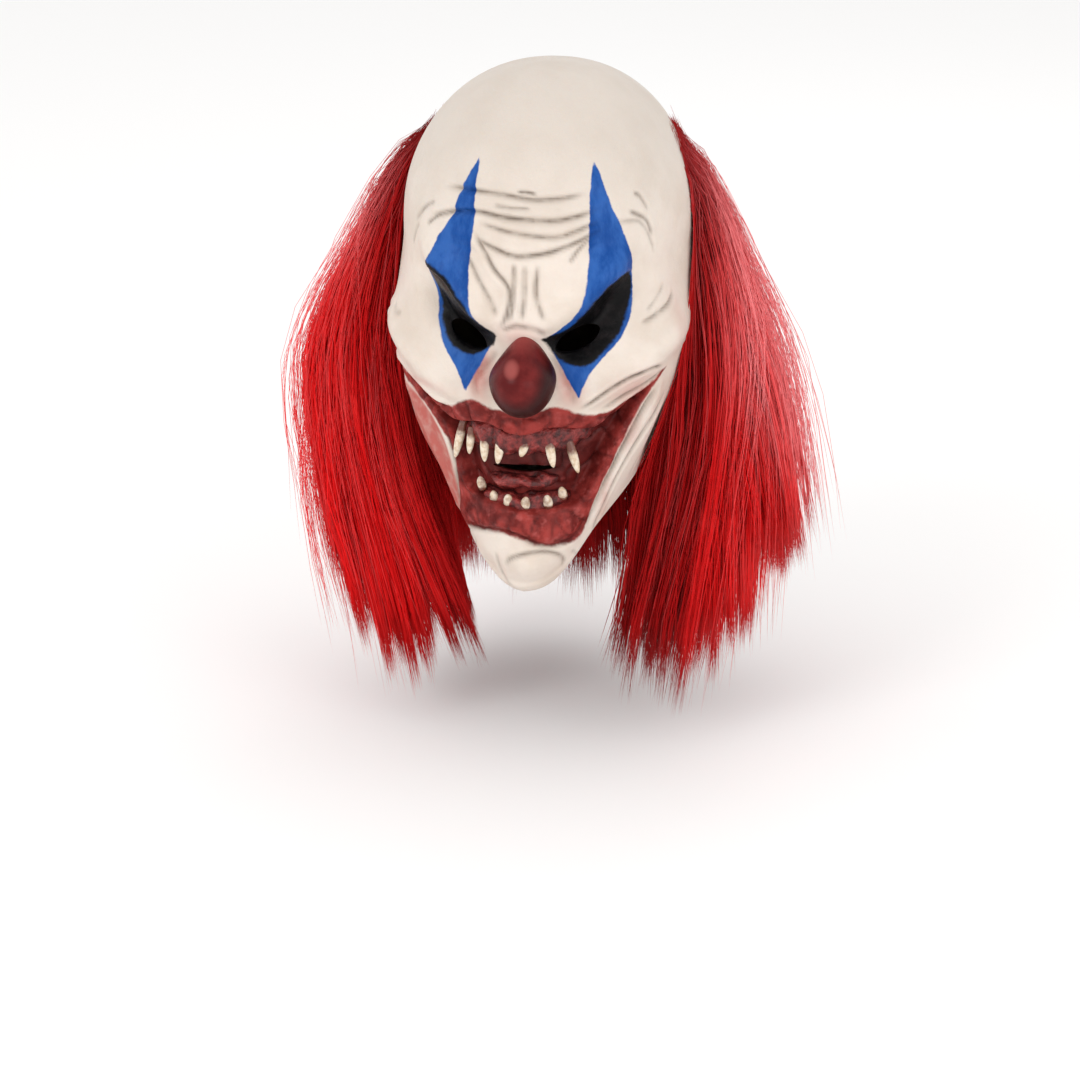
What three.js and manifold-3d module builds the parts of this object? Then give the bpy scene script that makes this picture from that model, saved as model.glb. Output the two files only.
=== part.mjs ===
// Latex clown mask: bald crown, red bulb nose, wide grin with crooked teeth, and red hair at the sides and back.
// Millimetres, +Z up, the face looks along -Y. The origin is where the crown rests on the wearer's head.
// The latex skin is a hollow wall open at the neck. Every height is a level, a share of MASK_HEIGHT
// measured down from the outside of the crown, and every angle is in degrees round the head from the nose.
import * as THREE from "three";
import { mergeVertices } from "three/addons/utils/BufferGeometryUtils.js";
import Module from "manifold-3d";

const wasm = await Module();
wasm.setup();

// Driving dimensions of the skin
const WALL = 2; // latex thickness
const HALF_WIDTH = 82; // head, from the middle to the side
const FRONT_DEPTH = 102; // from the head's axis to the face
const BACK_DEPTH = 106; // from the head's axis to the back of the head
const MASK_HEIGHT = 273; // crown to the underside of the chin
const DOME_LEVEL = 0.34; // where the crown's dome ends
const DOME_FULLNESS = 2.2; // 2 is an ellipse, more is fuller
const BACK_FULLNESS = 2.1;
const HEM_DROP = 9; // how far the edge rolls down under the jaw
const HEM_TUCK = 17; // how far it rolls inwards
const HEM_SWEEP = 78; // degrees of the roll
const FIT_GAP = 0.3; // clearance between pieces that touch

// Driving dimensions of the features
const RELIEF = 10; // height of the boldest mound on the face
const MOUTH_DEPTH = 13; // cheeks to the floor of the mouth
const MOUTH_SLOPE = 4; // how far the sides of the mouth lean in towards its floor
const LIP_RISE = 3;
const LIP_WIDTH = 6;
const EYE_HOLE_WIDTH = 22;
const EYE_HOLE_HEIGHT = 11;
const EYE_ANGLE = 18.8;
const EYE_LEVEL = 0.474;
const EYE_SLANT = 24; // degrees, outer corner high
const SLIT_WIDTH = 38; // breathing slit between the jaws
const SLIT_HEIGHT = 6;
const SLIT_LEVEL = 0.73;
const NOSE_WIDTH = 37;
const NOSE_HEIGHT = 42;
const NOSE_DEPTH = 46;
const NOSE_LEVEL = 0.535;
const NOSE_STAND_OFF = 10; // bulb's centre in front of the bare face
const NOSE_HOLE_SHARE = 0.86; // hole behind the bulb, as a share of the bulb's inside
const GUM_BULGE = 8;
const TOOTH_SIDES = 6;

// Driving dimensions of the hair
const HAIR_HALF_WIDTH = 153;
const HAIR_LENGTH = 346; // crown to the lowest tips
const HAIR_FRONT = 50; // how far the side hair falls in front of the head's axis
const HAIR_BACK = 128; // how far the back hair stands behind the axis
const LOCK_WIDTH = 48;
const LOCK_THICKNESS = 26;
const LOCK_SIDES = 6;
const LOCK_STEPS = 6;
const WEFT_THICKNESS = 2.5;
const HAIR_PARTING = 145; // angle where the side hair ends and the back hair begins
const WEFT_PARTING = 2; // degrees from the parting to each weft
const SHOULDER_OUT = 0.6; // how far a lock stands out near its root, as a share of its thickness
const SHOULDER_DROP = 0.9; // how far below its root that is, as a share of its thickness

// Horizontal sections of the head below the dome, as shares of the half width and the two depths.
// A point of 2 is round, and less is more pointed towards the chin.
const HEAD_SECTIONS = [
  { level: 0.34, side: 0.965, front: 1.005, back: 1.01, point: 2.15 },
  { level: 0.43, side: 0.995, front: 1.0, back: 1.015, point: 2.15 },
  { level: 0.52, side: 1.0, front: 0.99, back: 1.0, point: 2.1 },
  { level: 0.6, side: 0.965, front: 1.0, back: 0.965, point: 2.0 },
  { level: 0.69, side: 0.87, front: 1.01, back: 0.905, point: 1.92 },
  { level: 0.78, side: 0.745, front: 1.0, back: 0.84, point: 1.9 },
  { level: 0.86, side: 0.61, front: 0.985, back: 0.8, point: 1.92 },
  { level: 0.92, side: 0.475, front: 0.955, back: 0.77, point: 2.0 },
  { level: 0.97, side: 0.35, front: 0.905, back: 0.74, point: 2.1 },
  { level: 1.0, side: 0.27, front: 0.85, back: 0.72, point: 2.1 },
];

// The jaw line, where the edge starts to roll under, and how large the roll is there.
const JAW_LINE = [
  { angle: 0, level: 0.962, roll: 1.0 },
  { angle: 10, level: 0.948, roll: 1.0 },
  { angle: 20, level: 0.9, roll: 0.95 },
  { angle: 30, level: 0.852, roll: 0.85 },
  { angle: 45, level: 0.803, roll: 0.7 },
  { angle: 60, level: 0.768, roll: 0.55 },
  { angle: 85, level: 0.765, roll: 0.45 },
  { angle: 120, level: 0.785, roll: 0.35 },
  { angle: 180, level: 0.81, roll: 0.3 },
];

// Mounds and dents on both halves of the face. Wide and tall are radii as shares of the half width,
// rise is a share of RELIEF, and turn tips the outer end up by that many degrees.
const FACE_MOUNDS = [
  { name: "brow_inner", angle: 12, level: 0.415, wide: 0.17, tall: 0.075, turn: 40, rise: 0.62 },
  { name: "brow_outer", angle: 27, level: 0.338, wide: 0.2, tall: 0.09, turn: 42, rise: 0.55 },
  { name: "eye_socket", angle: 19, level: 0.47, wide: 0.2, tall: 0.1, turn: 30, rise: -1.15 },
  { name: "socket_outer", angle: 29, level: 0.412, wide: 0.16, tall: 0.1, turn: 50, rise: -0.75 },
  { name: "temple", angle: 62, level: 0.35, wide: 0.28, tall: 0.3, turn: 0, rise: -0.3 },
  { name: "cheek_high", angle: 54, level: 0.49, wide: 0.27, tall: 0.14, turn: 18, rise: 0.75 },
  { name: "cheek_middle", angle: 37, level: 0.535, wide: 0.24, tall: 0.12, turn: 22, rise: 0.7 },
  { name: "cheek_low", angle: 22, level: 0.58, wide: 0.16, tall: 0.08, turn: 18, rise: 0.5 },
  { name: "grin_fold", angle: 47, level: 0.68, wide: 0.12, tall: 0.34, turn: -30, rise: 0.5 },
  { name: "jaw_hollow", angle: 62, level: 0.7, wide: 0.22, tall: 0.24, turn: -15, rise: -0.4 },
  { name: "nose_wing", angle: 10, level: 0.555, wide: 0.12, tall: 0.15, turn: -20, rise: 0.5 },
  { name: "chin_side", angle: 17, level: 0.91, wide: 0.16, tall: 0.14, turn: 0, rise: 0.3 },
];

// Mounds and dents on the middle line.
const MIDDLE_MOUNDS = [
  { name: "nose_bridge", angle: 0, level: 0.48, wide: 0.12, tall: 0.26, turn: 0, rise: 0.75 },
  { name: "frown", angle: 0, level: 0.38, wide: 0.06, tall: 0.16, turn: 0, rise: 0.25 },
  { name: "chin_ball", angle: 3, level: 0.918, wide: 0.17, tall: 0.14, turn: 0, rise: 0.7 },
];

// Forehead wrinkles: each sags in the middle and dies out at its ends.
const WRINKLES = [
  { level: 0.197, sag: 0.011, reach: 27, depth: 1.4 },
  { level: 0.231, sag: 0.011, reach: 28, depth: 1.6 },
  { level: 0.261, sag: 0.011, reach: 21, depth: 1.5 },
  { level: 0.292, sag: 0.014, reach: 25, depth: 1.7 },
];
const WRINKLE_WIDTH = 4.2;

// The open mouth, from the middle to the corner of the grin.
const MOUTH_OUTLINE = [
  { angle: 0, top: 0.622, bottom: 0.848, deep: 1.0 },
  { angle: 8, top: 0.619, bottom: 0.852, deep: 1.0 },
  { angle: 15, top: 0.618, bottom: 0.858, deep: 1.0 },
  { angle: 20, top: 0.618, bottom: 0.848, deep: 1.0 },
  { angle: 24, top: 0.616, bottom: 0.79, deep: 0.95 },
  { angle: 30, top: 0.61, bottom: 0.712, deep: 0.85 },
  { angle: 37, top: 0.596, bottom: 0.658, deep: 0.7 },
  { angle: 46, top: 0.576, bottom: 0.616, deep: 0.55 },
  { angle: 53, top: 0.558, bottom: 0.584, deep: 0.4 },
  { angle: 58, top: 0.548, bottom: 0.558, deep: 0.25 },
];

// Fleshy bars inside the mouth: half the angle that each spans, and its height and stand-off as shares
// of MASK_HEIGHT and GUM_BULGE. Sag lowers the middle.
const GUMS = [
  { name: "upper_gum", level: 0.664, span: 23, tall: 0.03, bulge: 1.0, sag: 0.005 },
  { name: "tongue", level: 0.756, span: 12, tall: 0.012, bulge: 0.75, sag: 0.004 },
  { name: "lower_gum", level: 0.797, span: 16.5, tall: 0.02, bulge: 0.95, sag: 0.006 },
];

// Teeth: root position, length and width as shares of MASK_HEIGHT, and how far the tip leans to +X.
const UPPER_TEETH = [
  { angle: -19.5, level: 0.676, long: 0.058, wide: 0.0165, lean: -16 },
  { angle: -15.8, level: 0.676, long: 0.038, wide: 0.0135, lean: 0 },
  { angle: -9, level: 0.68, long: 0.046, wide: 0.0165, lean: -4 },
  { angle: -4, level: 0.682, long: 0.052, wide: 0.0175, lean: -8 },
  { angle: 2, level: 0.686, long: 0.03, wide: 0.0135, lean: -8 },
  { angle: 9.8, level: 0.684, long: 0.05, wide: 0.0175, lean: 8 },
  { angle: 16.8, level: 0.69, long: 0.056, wide: 0.016, lean: 12 },
];
const LOWER_TEETH = [
  { angle: -13.2, level: 0.79, long: 0.032, wide: 0.015, lean: -14 },
  { angle: -8.6, level: 0.802, long: 0.024, wide: 0.0145, lean: -8 },
  { angle: -3.2, level: 0.806, long: 0.03, wide: 0.0165, lean: -12 },
  { angle: 1.8, level: 0.806, long: 0.03, wide: 0.0165, lean: -6 },
  { angle: 7.6, level: 0.804, long: 0.03, wide: 0.0165, lean: -10 },
  { angle: 12.6, level: 0.796, long: 0.027, wide: 0.015, lean: 6 },
];
const TOOTH_ROOT_SHARE = 0.42; // length of a tooth that is buried in the gum
const TOOTH_STAND = 0.78; // how far forward in the gum a tooth stands, as a share of the gum's bulge
// Half thickness of a tooth along its length, as shares of its width and length.
const TOOTH_PROFILE = [
  { wide: 0.72, long: 0 },
  { wide: 1, long: 0.4 },
  { wide: 0.8, long: 0.7 },
  { wide: 0.24, long: 1 },
];

// Locks of hair, from the front edge backwards. Each leaves the skin at an angle and a level, stands out
// furthest at its belly and ends at its tip. Belly and tip are shares of [half width, length, reach], where
// the reach is HAIR_FRONT at the sides and HAIR_BACK behind.
const SIDE_LOCKS = [
  { angle: 99, level: 0.2, belly: [0.64, 0.55, 0.2], tip: [0.38, 0.88, 0.55], size: 0.85 },
  { angle: 101, level: 0.11, belly: [0.8, 0.45, 0.1], tip: [0.56, 1.0, 0.75], size: 1.0 },
  { angle: 108, level: 0.26, belly: [0.8, 0.66, 0.3], tip: [0.68, 0.95, 0.6], size: 0.95 },
  { angle: 113, level: 0.11, belly: [0.97, 0.5, -0.1], tip: [0.8, 0.92, 0.3], size: 1.0 },
  { angle: 121, level: 0.2, belly: [0.95, 0.64, -0.5], tip: [0.86, 0.84, -0.3], size: 0.95 },
  { angle: 129, level: 0.13, belly: [0.85, 0.52, -1.05], tip: [0.72, 0.93, -0.8], size: 1.05 },
  { angle: 138, level: 0.17, belly: [0.68, 0.58, -1.6], tip: [0.52, 0.9, -1.3], size: 1.05 },
];
const BACK_LOCKS = [
  { angle: 155, level: 0.13, belly: [0.4, 0.55, -1], tip: [0.38, 0.92, -0.9], size: 1.05 },
  { angle: 171, level: 0.15, belly: [0.13, 0.55, -1], tip: [0.14, 0.96, -0.9], size: 1.1 },
  { angle: 189, level: 0.15, belly: [-0.13, 0.55, -1], tip: [-0.11, 0.94, -0.9], size: 1.1 },
  { angle: 205, level: 0.13, belly: [-0.4, 0.55, -1], tip: [-0.37, 0.93, -0.9], size: 1.05 },
];
// Areas of the skin that the wefts cover. They meet at the parting.
const SIDE_WEFT = { from: 97, to: HAIR_PARTING - WEFT_PARTING, top: 0.085, bottom: 0.42 };
const BACK_WEFT = {
  from: HAIR_PARTING + WEFT_PARTING,
  to: 360 - HAIR_PARTING - WEFT_PARTING,
  top: 0.1,
  bottom: 0.42,
};
// Swelling of a lock along its length, from the root to the tip.
const LOCK_SWELL = [0.42, 0.85, 1.05, 1.1, 1.08, 0.9, 0.16];

const HEAD_COLUMNS_FRONT = 27; // mesh columns over the face
const FACE_SPAN = 74; // degrees each side that count as the face
const HEAD_COLUMNS_BACK = 9;
const CROWN_LEVELS = [0.01, 0.045, 0.095, 0.15];
const FOREHEAD_LEVELS = [0.185, 0.21, 0.24, 0.27, 0.3, 0.335, 0.37];
const FACE_LEVELS = [
  0.4, 0.43, 0.458, 0.484, 0.515, 0.545, 0.575, 0.602, 0.63, 0.67, 0.72, 0.775, 0.825, 0.865, 0.905, 0.945,
];
const STRETCH_LEVEL = 0.5; // rows below this follow the jaw line
const HEM_ROWS = 2;

const radians = THREE.MathUtils.degToRad;
const UNROLL_RADIUS = (HALF_WIDTH + FRONT_DEPTH) / 2; // turns an angle into a distance over the face

// A smooth curve through one column of a table.
function column(rows, key, at, value) {
  const last = rows.length - 1;
  const x = THREE.MathUtils.clamp(at, rows[0][key], rows[last][key]);
  let i = 0;
  while (i < last - 1 && rows[i + 1][key] < x) i += 1;
  const slope = (k) => {
    const low = rows[Math.max(k - 1, 0)];
    const high = rows[Math.min(k + 1, last)];
    return (high[value] - low[value]) / (high[key] - low[key]);
  };
  const step = rows[i + 1][key] - rows[i][key];
  const t = (x - rows[i][key]) / step;
  const t2 = t * t;
  const t3 = t2 * t;
  const bend = step * ((t3 - 2 * t2 + t) * slope(i) + (t3 - t2) * slope(i + 1));
  return rows[i][value] * (2 * t3 - 3 * t2 + 1) + rows[i + 1][value] * (3 * t2 - 2 * t3) + bend;
}

// The head without any feature: the distance from the axis at an angle and a level.
function bareRadius(angle, level) {
  const below = Math.max(level, DOME_LEVEL);
  const up = Math.max(0, 1 - level / DOME_LEVEL);
  const dome = (1 - up ** DOME_FULLNESS) ** (1 / DOME_FULLNESS);
  const sine = Math.abs(Math.sin(radians(angle)));
  const cosine = Math.cos(radians(angle));
  const ahead = cosine > 0;
  const side = HALF_WIDTH * column(HEAD_SECTIONS, "level", below, "side");
  const depth = ahead
    ? FRONT_DEPTH * column(HEAD_SECTIONS, "level", below, "front")
    : BACK_DEPTH * column(HEAD_SECTIONS, "level", below, "back");
  const power = ahead ? column(HEAD_SECTIONS, "level", below, "point") : BACK_FULLNESS;
  return dome * ((sine / side) ** power + (Math.abs(cosine) / depth) ** power) ** (-1 / power);
}

function mound(row, angle, level) {
  const across = radians(angle - row.angle) * UNROLL_RADIUS;
  const up = (row.level - level) * MASK_HEIGHT;
  const turn = radians(row.turn);
  const along = (across * Math.cos(turn) + up * Math.sin(turn)) / (row.wide * HALF_WIDTH);
  const over = (up * Math.cos(turn) - across * Math.sin(turn)) / (row.tall * HALF_WIDTH);
  return RELIEF * row.rise * Math.exp(-(along ** 2 + over ** 2));
}

function wrinkle(row, angle, level) {
  const share = Math.abs(angle) / row.reach;
  const middle = row.level + row.sag * (1 - share * share);
  const off = ((level - middle) * MASK_HEIGHT) / WRINKLE_WIDTH;
  return -row.depth * Math.exp(-off * off) * THREE.MathUtils.smoothstep(1.15 - share, 0, 0.35);
}

// How far a point lies inside the mouth's outline, in millimetres. Outside it is negative.
function insideMouth(angle, level) {
  const corner = MOUTH_OUTLINE[MOUTH_OUTLINE.length - 1].angle;
  const turn = Math.abs(angle);
  const below = (level - column(MOUTH_OUTLINE, "angle", turn, "top")) * MASK_HEIGHT;
  const above = (column(MOUTH_OUTLINE, "angle", turn, "bottom") - level) * MASK_HEIGHT;
  const beside = radians(corner - turn) * UNROLL_RADIUS;
  return Math.min(below, above, beside);
}

function relief(angle, level) {
  const turn = Math.abs(angle);
  let rise = 0;
  for (const row of FACE_MOUNDS) rise += mound(row, turn, level);
  for (const row of MIDDLE_MOUNDS) rise += mound(row, angle, level);
  for (const row of WRINKLES) rise += wrinkle(row, angle, level);
  const fromLip = Math.min(0, insideMouth(angle, level) + LIP_WIDTH / 3);
  return rise + LIP_RISE * Math.exp(-((fromLip / LIP_WIDTH) ** 2));
}

// A point of the skin. Rolled is 0 on the face and 0 to 1 along the edge that rolls under the jaw.
function bareSkin(angle, level, rolled) {
  const sweep = radians(HEM_SWEEP * rolled);
  const roll = column(JAW_LINE, "angle", Math.abs(angle), "roll");
  const tuck = HEM_TUCK * roll * (1 - Math.cos(sweep));
  const drop = HEM_DROP * roll * Math.sin(sweep);
  const radius = bareRadius(angle, level) + relief(angle, level) - tuck;
  const turn = radians(angle);
  const height = WALL - level * MASK_HEIGHT - drop;
  return new THREE.Vector3(radius * Math.sin(turn), -radius * Math.cos(turn), height);
}

// The same point moved out along the skin's normal.
function skin(angle, level, offset) {
  const turned = bareSkin(angle + 1.5, level, 0).sub(bareSkin(angle - 1.5, level, 0));
  const raised = bareSkin(angle, level - 0.01, 0).sub(bareSkin(angle, level + 0.01, 0));
  return bareSkin(angle, level, 0).addScaledVector(turned.cross(raised).normalize(), offset);
}

// Column angles once round the head, closer together over the face.
function columnAngles() {
  const angles = [];
  for (let i = 0; i < HEAD_COLUMNS_FRONT; i += 1) {
    angles.push(-FACE_SPAN + (2 * FACE_SPAN * i) / (HEAD_COLUMNS_FRONT - 1));
  }
  const rest = 360 - 2 * FACE_SPAN;
  for (let i = 1; i <= HEAD_COLUMNS_BACK; i += 1) {
    const angle = FACE_SPAN + (rest * i) / (HEAD_COLUMNS_BACK + 1);
    angles.push(angle > 180 ? angle - 360 : angle);
  }
  return angles;
}

function jawLevel(angle) {
  return column(JAW_LINE, "angle", Math.abs(angle), "level");
}

// Rings of points on the outside of the skin, from the crown down to the rolled edge.
function outsideRings(levels) {
  const angles = columnAngles();
  const lastLevel = levels[levels.length - 1];
  const rings = levels.map((level) => {
    const follow = Math.max(0, (level - STRETCH_LEVEL) / (lastLevel - STRETCH_LEVEL));
    return angles.map((angle) => bareSkin(angle, level + follow * (jawLevel(angle) - lastLevel), 0));
  });
  for (let i = 1; i <= HEM_ROWS; i += 1) {
    rings.push(angles.map((angle) => bareSkin(angle, jawLevel(angle), i / HEM_ROWS)));
  }
  return rings;
}

// The skin as one solid, moved out by an offset along the normals between neighbouring points and
// carried straight down past its edge by some distance. The crown is its pole.
function skinSolid(levels, offset, past) {
  const rings = outsideRings(levels);
  const crown = new THREE.Vector3(0, 0, WALL);
  const moved = rings.map((ring, r) => {
    const upper = rings[Math.max(r - 1, 0)];
    const lower = rings[Math.min(r + 1, rings.length - 1)];
    return ring.map((point, c) => {
      const next = ring[(c + 1) % ring.length];
      const before = ring[(c + ring.length - 1) % ring.length];
      const turned = next.clone().sub(before);
      const raised = (r === 0 ? crown : upper[c]).clone().sub(lower[c]);
      return point.clone().addScaledVector(turned.cross(raised).normalize(), offset);
    });
  });
  moved.unshift([crown.clone().setZ(WALL + offset)]);
  if (past > 0) {
    moved.push(moved[moved.length - 1].map((point) => point.clone().setZ(point.z - past)));
  }
  return ringSolid(moved);
}

// A closed solid through rings of points. A ring of one point is a pole, and open ends are capped.
// The diagonals of its faces are mirrored about the middle plane.
function ringSolid(rings) {
  const positions = [];
  const starts = [];
  const middle = (ring) => {
    const sum = ring.reduce((total, point) => total.add(point), new THREE.Vector3());
    return sum.divideScalar(ring.length);
  };
  const all = [...rings];
  if (all[0].length > 1) all.unshift([middle(all[0])]);
  if (all[all.length - 1].length > 1) all.push([middle(all[all.length - 1])]);
  for (const ring of all) {
    starts.push(positions.length / 3);
    for (const point of ring) positions.push(point.x, point.y, point.z);
  }
  const index = [];
  for (let r = 0; r + 1 < all.length; r += 1) {
    const upper = all[r].length;
    const lower = all[r + 1].length;
    const count = Math.max(upper, lower);
    for (let i = 0; i < count; i += 1) {
      const next = (i + 1) % count;
      const a = starts[r] + (upper > 1 ? i : 0);
      const b = starts[r] + (upper > 1 ? next : 0);
      const c = starts[r + 1] + (lower > 1 ? i : 0);
      const d = starts[r + 1] + (lower > 1 ? next : 0);
      if (lower === 1) index.push(a, c, b);
      else if (upper === 1) index.push(a, c, d);
      else if (positions[3 * a] + positions[3 * d] < 0) index.push(a, c, d, a, d, b);
      else index.push(a, c, b, b, c, d);
    }
  }
  const geometry = new THREE.BufferGeometry();
  geometry.setAttribute("position", new THREE.Float32BufferAttribute(positions, 3));
  geometry.setIndex(index);
  return solid(geometry);
}

// The one outer body of a join, without the pockets that its pieces close off between them.
function outerBody(made) {
  const bodies = made.decompose().filter((body) => body.volume() > 0);
  return bodies.reduce((largest, body) => (body.volume() > largest.volume() ? body : largest));
}

// A three.js geometry as a solid that can be cut and joined.
function solid(geometry) {
  const bare = geometry.clone();
  bare.deleteAttribute("normal");
  bare.deleteAttribute("uv");
  const merged = mergeVertices(bare, 1e-4);
  const make = (triVerts) =>
    new wasm.Manifold(
      new wasm.Mesh({ numProp: 3, vertProperties: merged.attributes.position.array, triVerts }),
    );
  const triVerts = new Uint32Array(merged.index.array);
  const made = make(triVerts);
  return made.volume() > 0 ? made : make(triVerts.reverse());
}

function geometryOf(made) {
  const data = made.getMesh();
  const geometry = new THREE.BufferGeometry();
  const positions = new Float32Array(data.numVert * 3);
  for (let i = 0; i < data.numVert; i += 1) {
    positions.set(data.vertProperties.subarray(i * data.numProp, i * data.numProp + 3), i * 3);
  }
  geometry.setAttribute("position", new THREE.BufferAttribute(positions, 3));
  geometry.setIndex(new THREE.BufferAttribute(new Uint32Array(data.triVerts), 1));
  geometry.computeVertexNormals();
  return geometry;
}

function named(name, made, look) {
  const mesh = new THREE.Mesh(geometryOf(made), new THREE.MeshStandardMaterial(look));
  mesh.name = name;
  return mesh;
}

const LATEX = { color: 0xe6dccb, roughness: 0.55, metalness: 0 };
const NOSE_PAINT = { color: 0x6b1420, roughness: 0.35, metalness: 0 };
const FLESH = { color: 0x7d2a2c, roughness: 0.4, metalness: 0 };
const ENAMEL = { color: 0xd9c9a0, roughness: 0.35, metalness: 0 };
const HAIR = { color: 0xb80f16, roughness: 0.45, metalness: 0 };

// Everything inside the skin's outer face, grown by the clearance. What stands on the skin is cut by it.
const OUTSIDE_LEVELS = [...CROWN_LEVELS, ...FOREHEAD_LEVELS, ...FACE_LEVELS];
const seat = skinSolid(OUTSIDE_LEVELS, FIT_GAP, 0);

// The bulb of the nose, scaled from its outside size by a margin.
function noseBulb(margin) {
  const geometry = new THREE.SphereGeometry(1, 16, 10);
  geometry.scale(NOSE_WIDTH / 2 + margin, NOSE_DEPTH / 2 + margin, NOSE_HEIGHT / 2 + margin);
  const ahead = bareRadius(0, NOSE_LEVEL) + NOSE_STAND_OFF;
  geometry.translate(0, -ahead, WALL - NOSE_LEVEL * MASK_HEIGHT);
  return solid(geometry);
}

function nose() {
  return noseBulb(0).subtract(noseBulb(-WALL)).subtract(seat);
}

// Hole in the skin behind the nose, so that the bulb is hollow from inside.
function noseHole() {
  const clearance = ((1 - NOSE_HOLE_SHARE) * NOSE_WIDTH) / 2;
  return noseBulb(-WALL - clearance);
}

function eyeHole(side) {
  const half = EYE_HOLE_WIDTH / 2;
  const shape = new THREE.Shape();
  shape.moveTo(-half, 0);
  shape.quadraticCurveTo(0, EYE_HOLE_HEIGHT, half, 0);
  shape.quadraticCurveTo(0, -EYE_HOLE_HEIGHT, -half, 0);
  const reach = FRONT_DEPTH;
  const geometry = new THREE.ExtrudeGeometry(shape, { depth: reach, bevelEnabled: false, curveSegments: 6 });
  geometry.rotateZ(radians(side * EYE_SLANT));
  geometry.rotateX(Math.PI / 2);
  const middle = bareSkin(side * EYE_ANGLE, EYE_LEVEL, 0);
  geometry.translate(middle.x, middle.y + reach / 2, middle.z);
  return solid(geometry);
}

function breathingSlit() {
  const half = SLIT_WIDTH / 2;
  const shape = new THREE.Shape();
  shape.moveTo(-half, 0);
  shape.quadraticCurveTo(0, SLIT_HEIGHT, half, 0);
  shape.quadraticCurveTo(0, -SLIT_HEIGHT, -half, 0);
  const reach = FRONT_DEPTH;
  const geometry = new THREE.ExtrudeGeometry(shape, { depth: reach, bevelEnabled: false, curveSegments: 5 });
  geometry.rotateX(Math.PI / 2);
  geometry.translate(0, -mouthFloor(0, SLIT_LEVEL) + reach / 2, WALL - SLIT_LEVEL * MASK_HEIGHT);
  return solid(geometry);
}

// The floor of the mouth: its distance from the head's axis.
function mouthFloor(angle, level) {
  const deep = column(MOUTH_OUTLINE, "angle", Math.abs(angle), "deep");
  return bareRadius(angle, level) - MOUTH_DEPTH * deep;
}

// The space of the open mouth in front of its floor, grown all round by a margin.
function mouthPocket(grow) {
  const across = 20;
  const down = 5;
  const corner = MOUTH_OUTLINE[MOUTH_OUTLINE.length - 1].angle;
  const spill = THREE.MathUtils.radToDeg(grow / UNROLL_RADIUS);
  const layer = (atFloor) => {
    const grid = [];
    for (let k = 0; k <= down; k += 1) {
      const row = [];
      for (let i = 0; i <= across; i += 1) {
        const share = Math.sin((Math.PI / 2) * ((2 * i) / across - 1));
        const angle = share * corner;
        const top = column(MOUTH_OUTLINE, "angle", Math.abs(angle), "top");
        const bottom = column(MOUTH_OUTLINE, "angle", Math.abs(angle), "bottom");
        const lean = atFloor ? Math.min(MOUTH_SLOPE / MASK_HEIGHT, (bottom - top) / 4) : 0;
        const margin = grow / MASK_HEIGHT - lean;
        const level = top - margin + (bottom - top + 2 * margin) * (k / down);
        const turn = radians(angle + share * spill);
        const radius = atFloor ? mouthFloor(angle, level) - grow : bareRadius(angle, level) + 2 * RELIEF;
        const height = WALL - level * MASK_HEIGHT;
        row.push(new THREE.Vector3(radius * Math.sin(turn), -radius * Math.cos(turn), height));
      }
      grid.push(row);
    }
    return grid;
  };
  return sheetSolid(layer(false), layer(true));
}

function latexSkin() {
  const everyOther = FOREHEAD_LEVELS.filter((_, i) => i % 2 === 0);
  const insideLevels = [...CROWN_LEVELS, ...everyOther, ...FACE_LEVELS];
  const outside = skinSolid(OUTSIDE_LEVELS, 0, 0).subtract(mouthPocket(0));
  const inside = skinSolid(insideLevels, -WALL, 3 * WALL).subtract(mouthPocket(WALL));
  const wall = outside.subtract(inside);
  return wall.subtract(noseHole()).subtract(eyeHole(-1)).subtract(eyeHole(1)).subtract(breathingSlit());
}

// A fleshy bar on the floor of the mouth: half an oval swept round the head.
function gum(row) {
  const steps = 10;
  const corners = 6;
  const rings = [];
  for (let i = 0; i <= steps; i += 1) {
    const share = (2 * i) / steps - 1;
    const angle = row.span * share;
    const taper = Math.sqrt(Math.max(0.15, 1 - share ** 4));
    const level = row.level + row.sag * (1 - share * share);
    const turn = radians(angle);
    const ring = [];
    for (let k = 0; k < corners; k += 1) {
      const phase = Math.PI * (k / (corners - 1) - 0.5);
      const here = level - row.tall * taper * Math.sin(phase);
      const radius = mouthFloor(angle, here) + FIT_GAP + GUM_BULGE * row.bulge * taper * Math.cos(phase);
      const height = WALL - here * MASK_HEIGHT;
      ring.push(new THREE.Vector3(radius * Math.sin(turn), -radius * Math.cos(turn), height));
    }
    rings.push(ring);
  }
  return ringSolid(rings);
}

// One tooth, a round peg that swells and then comes to a blunt tip. Up is 1 for the lower jaw.
function tooth(row, bar, up, margin) {
  const long = row.long * MASK_HEIGHT;
  const radius = (row.wide * MASK_HEIGHT) / 2;
  const profile = TOOTH_PROFILE.map((point, i) => {
    const past = i === 0 ? -margin : i === TOOTH_PROFILE.length - 1 ? margin : 0;
    return new THREE.Vector2(radius * point.wide + margin, long * point.long + past);
  });
  profile.unshift(new THREE.Vector2(0, profile[0].y));
  profile.push(new THREE.Vector2(0, profile[profile.length - 1].y));
  const geometry = new THREE.LatheGeometry(profile, TOOTH_SIDES);
  geometry.rotateX(up > 0 ? Math.PI / 2 : -Math.PI / 2);
  geometry.rotateY(radians(-up * row.lean));
  const stand = GUM_BULGE * bar.bulge * TOOTH_STAND;
  const outward = mouthFloor(row.angle, row.level) + stand;
  const turn = radians(row.angle);
  const buried = up * TOOTH_ROOT_SHARE * long;
  const height = WALL - row.level * MASK_HEIGHT - buried;
  geometry.translate(outward * Math.sin(turn), -outward * Math.cos(turn), height);
  return solid(geometry);
}

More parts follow.
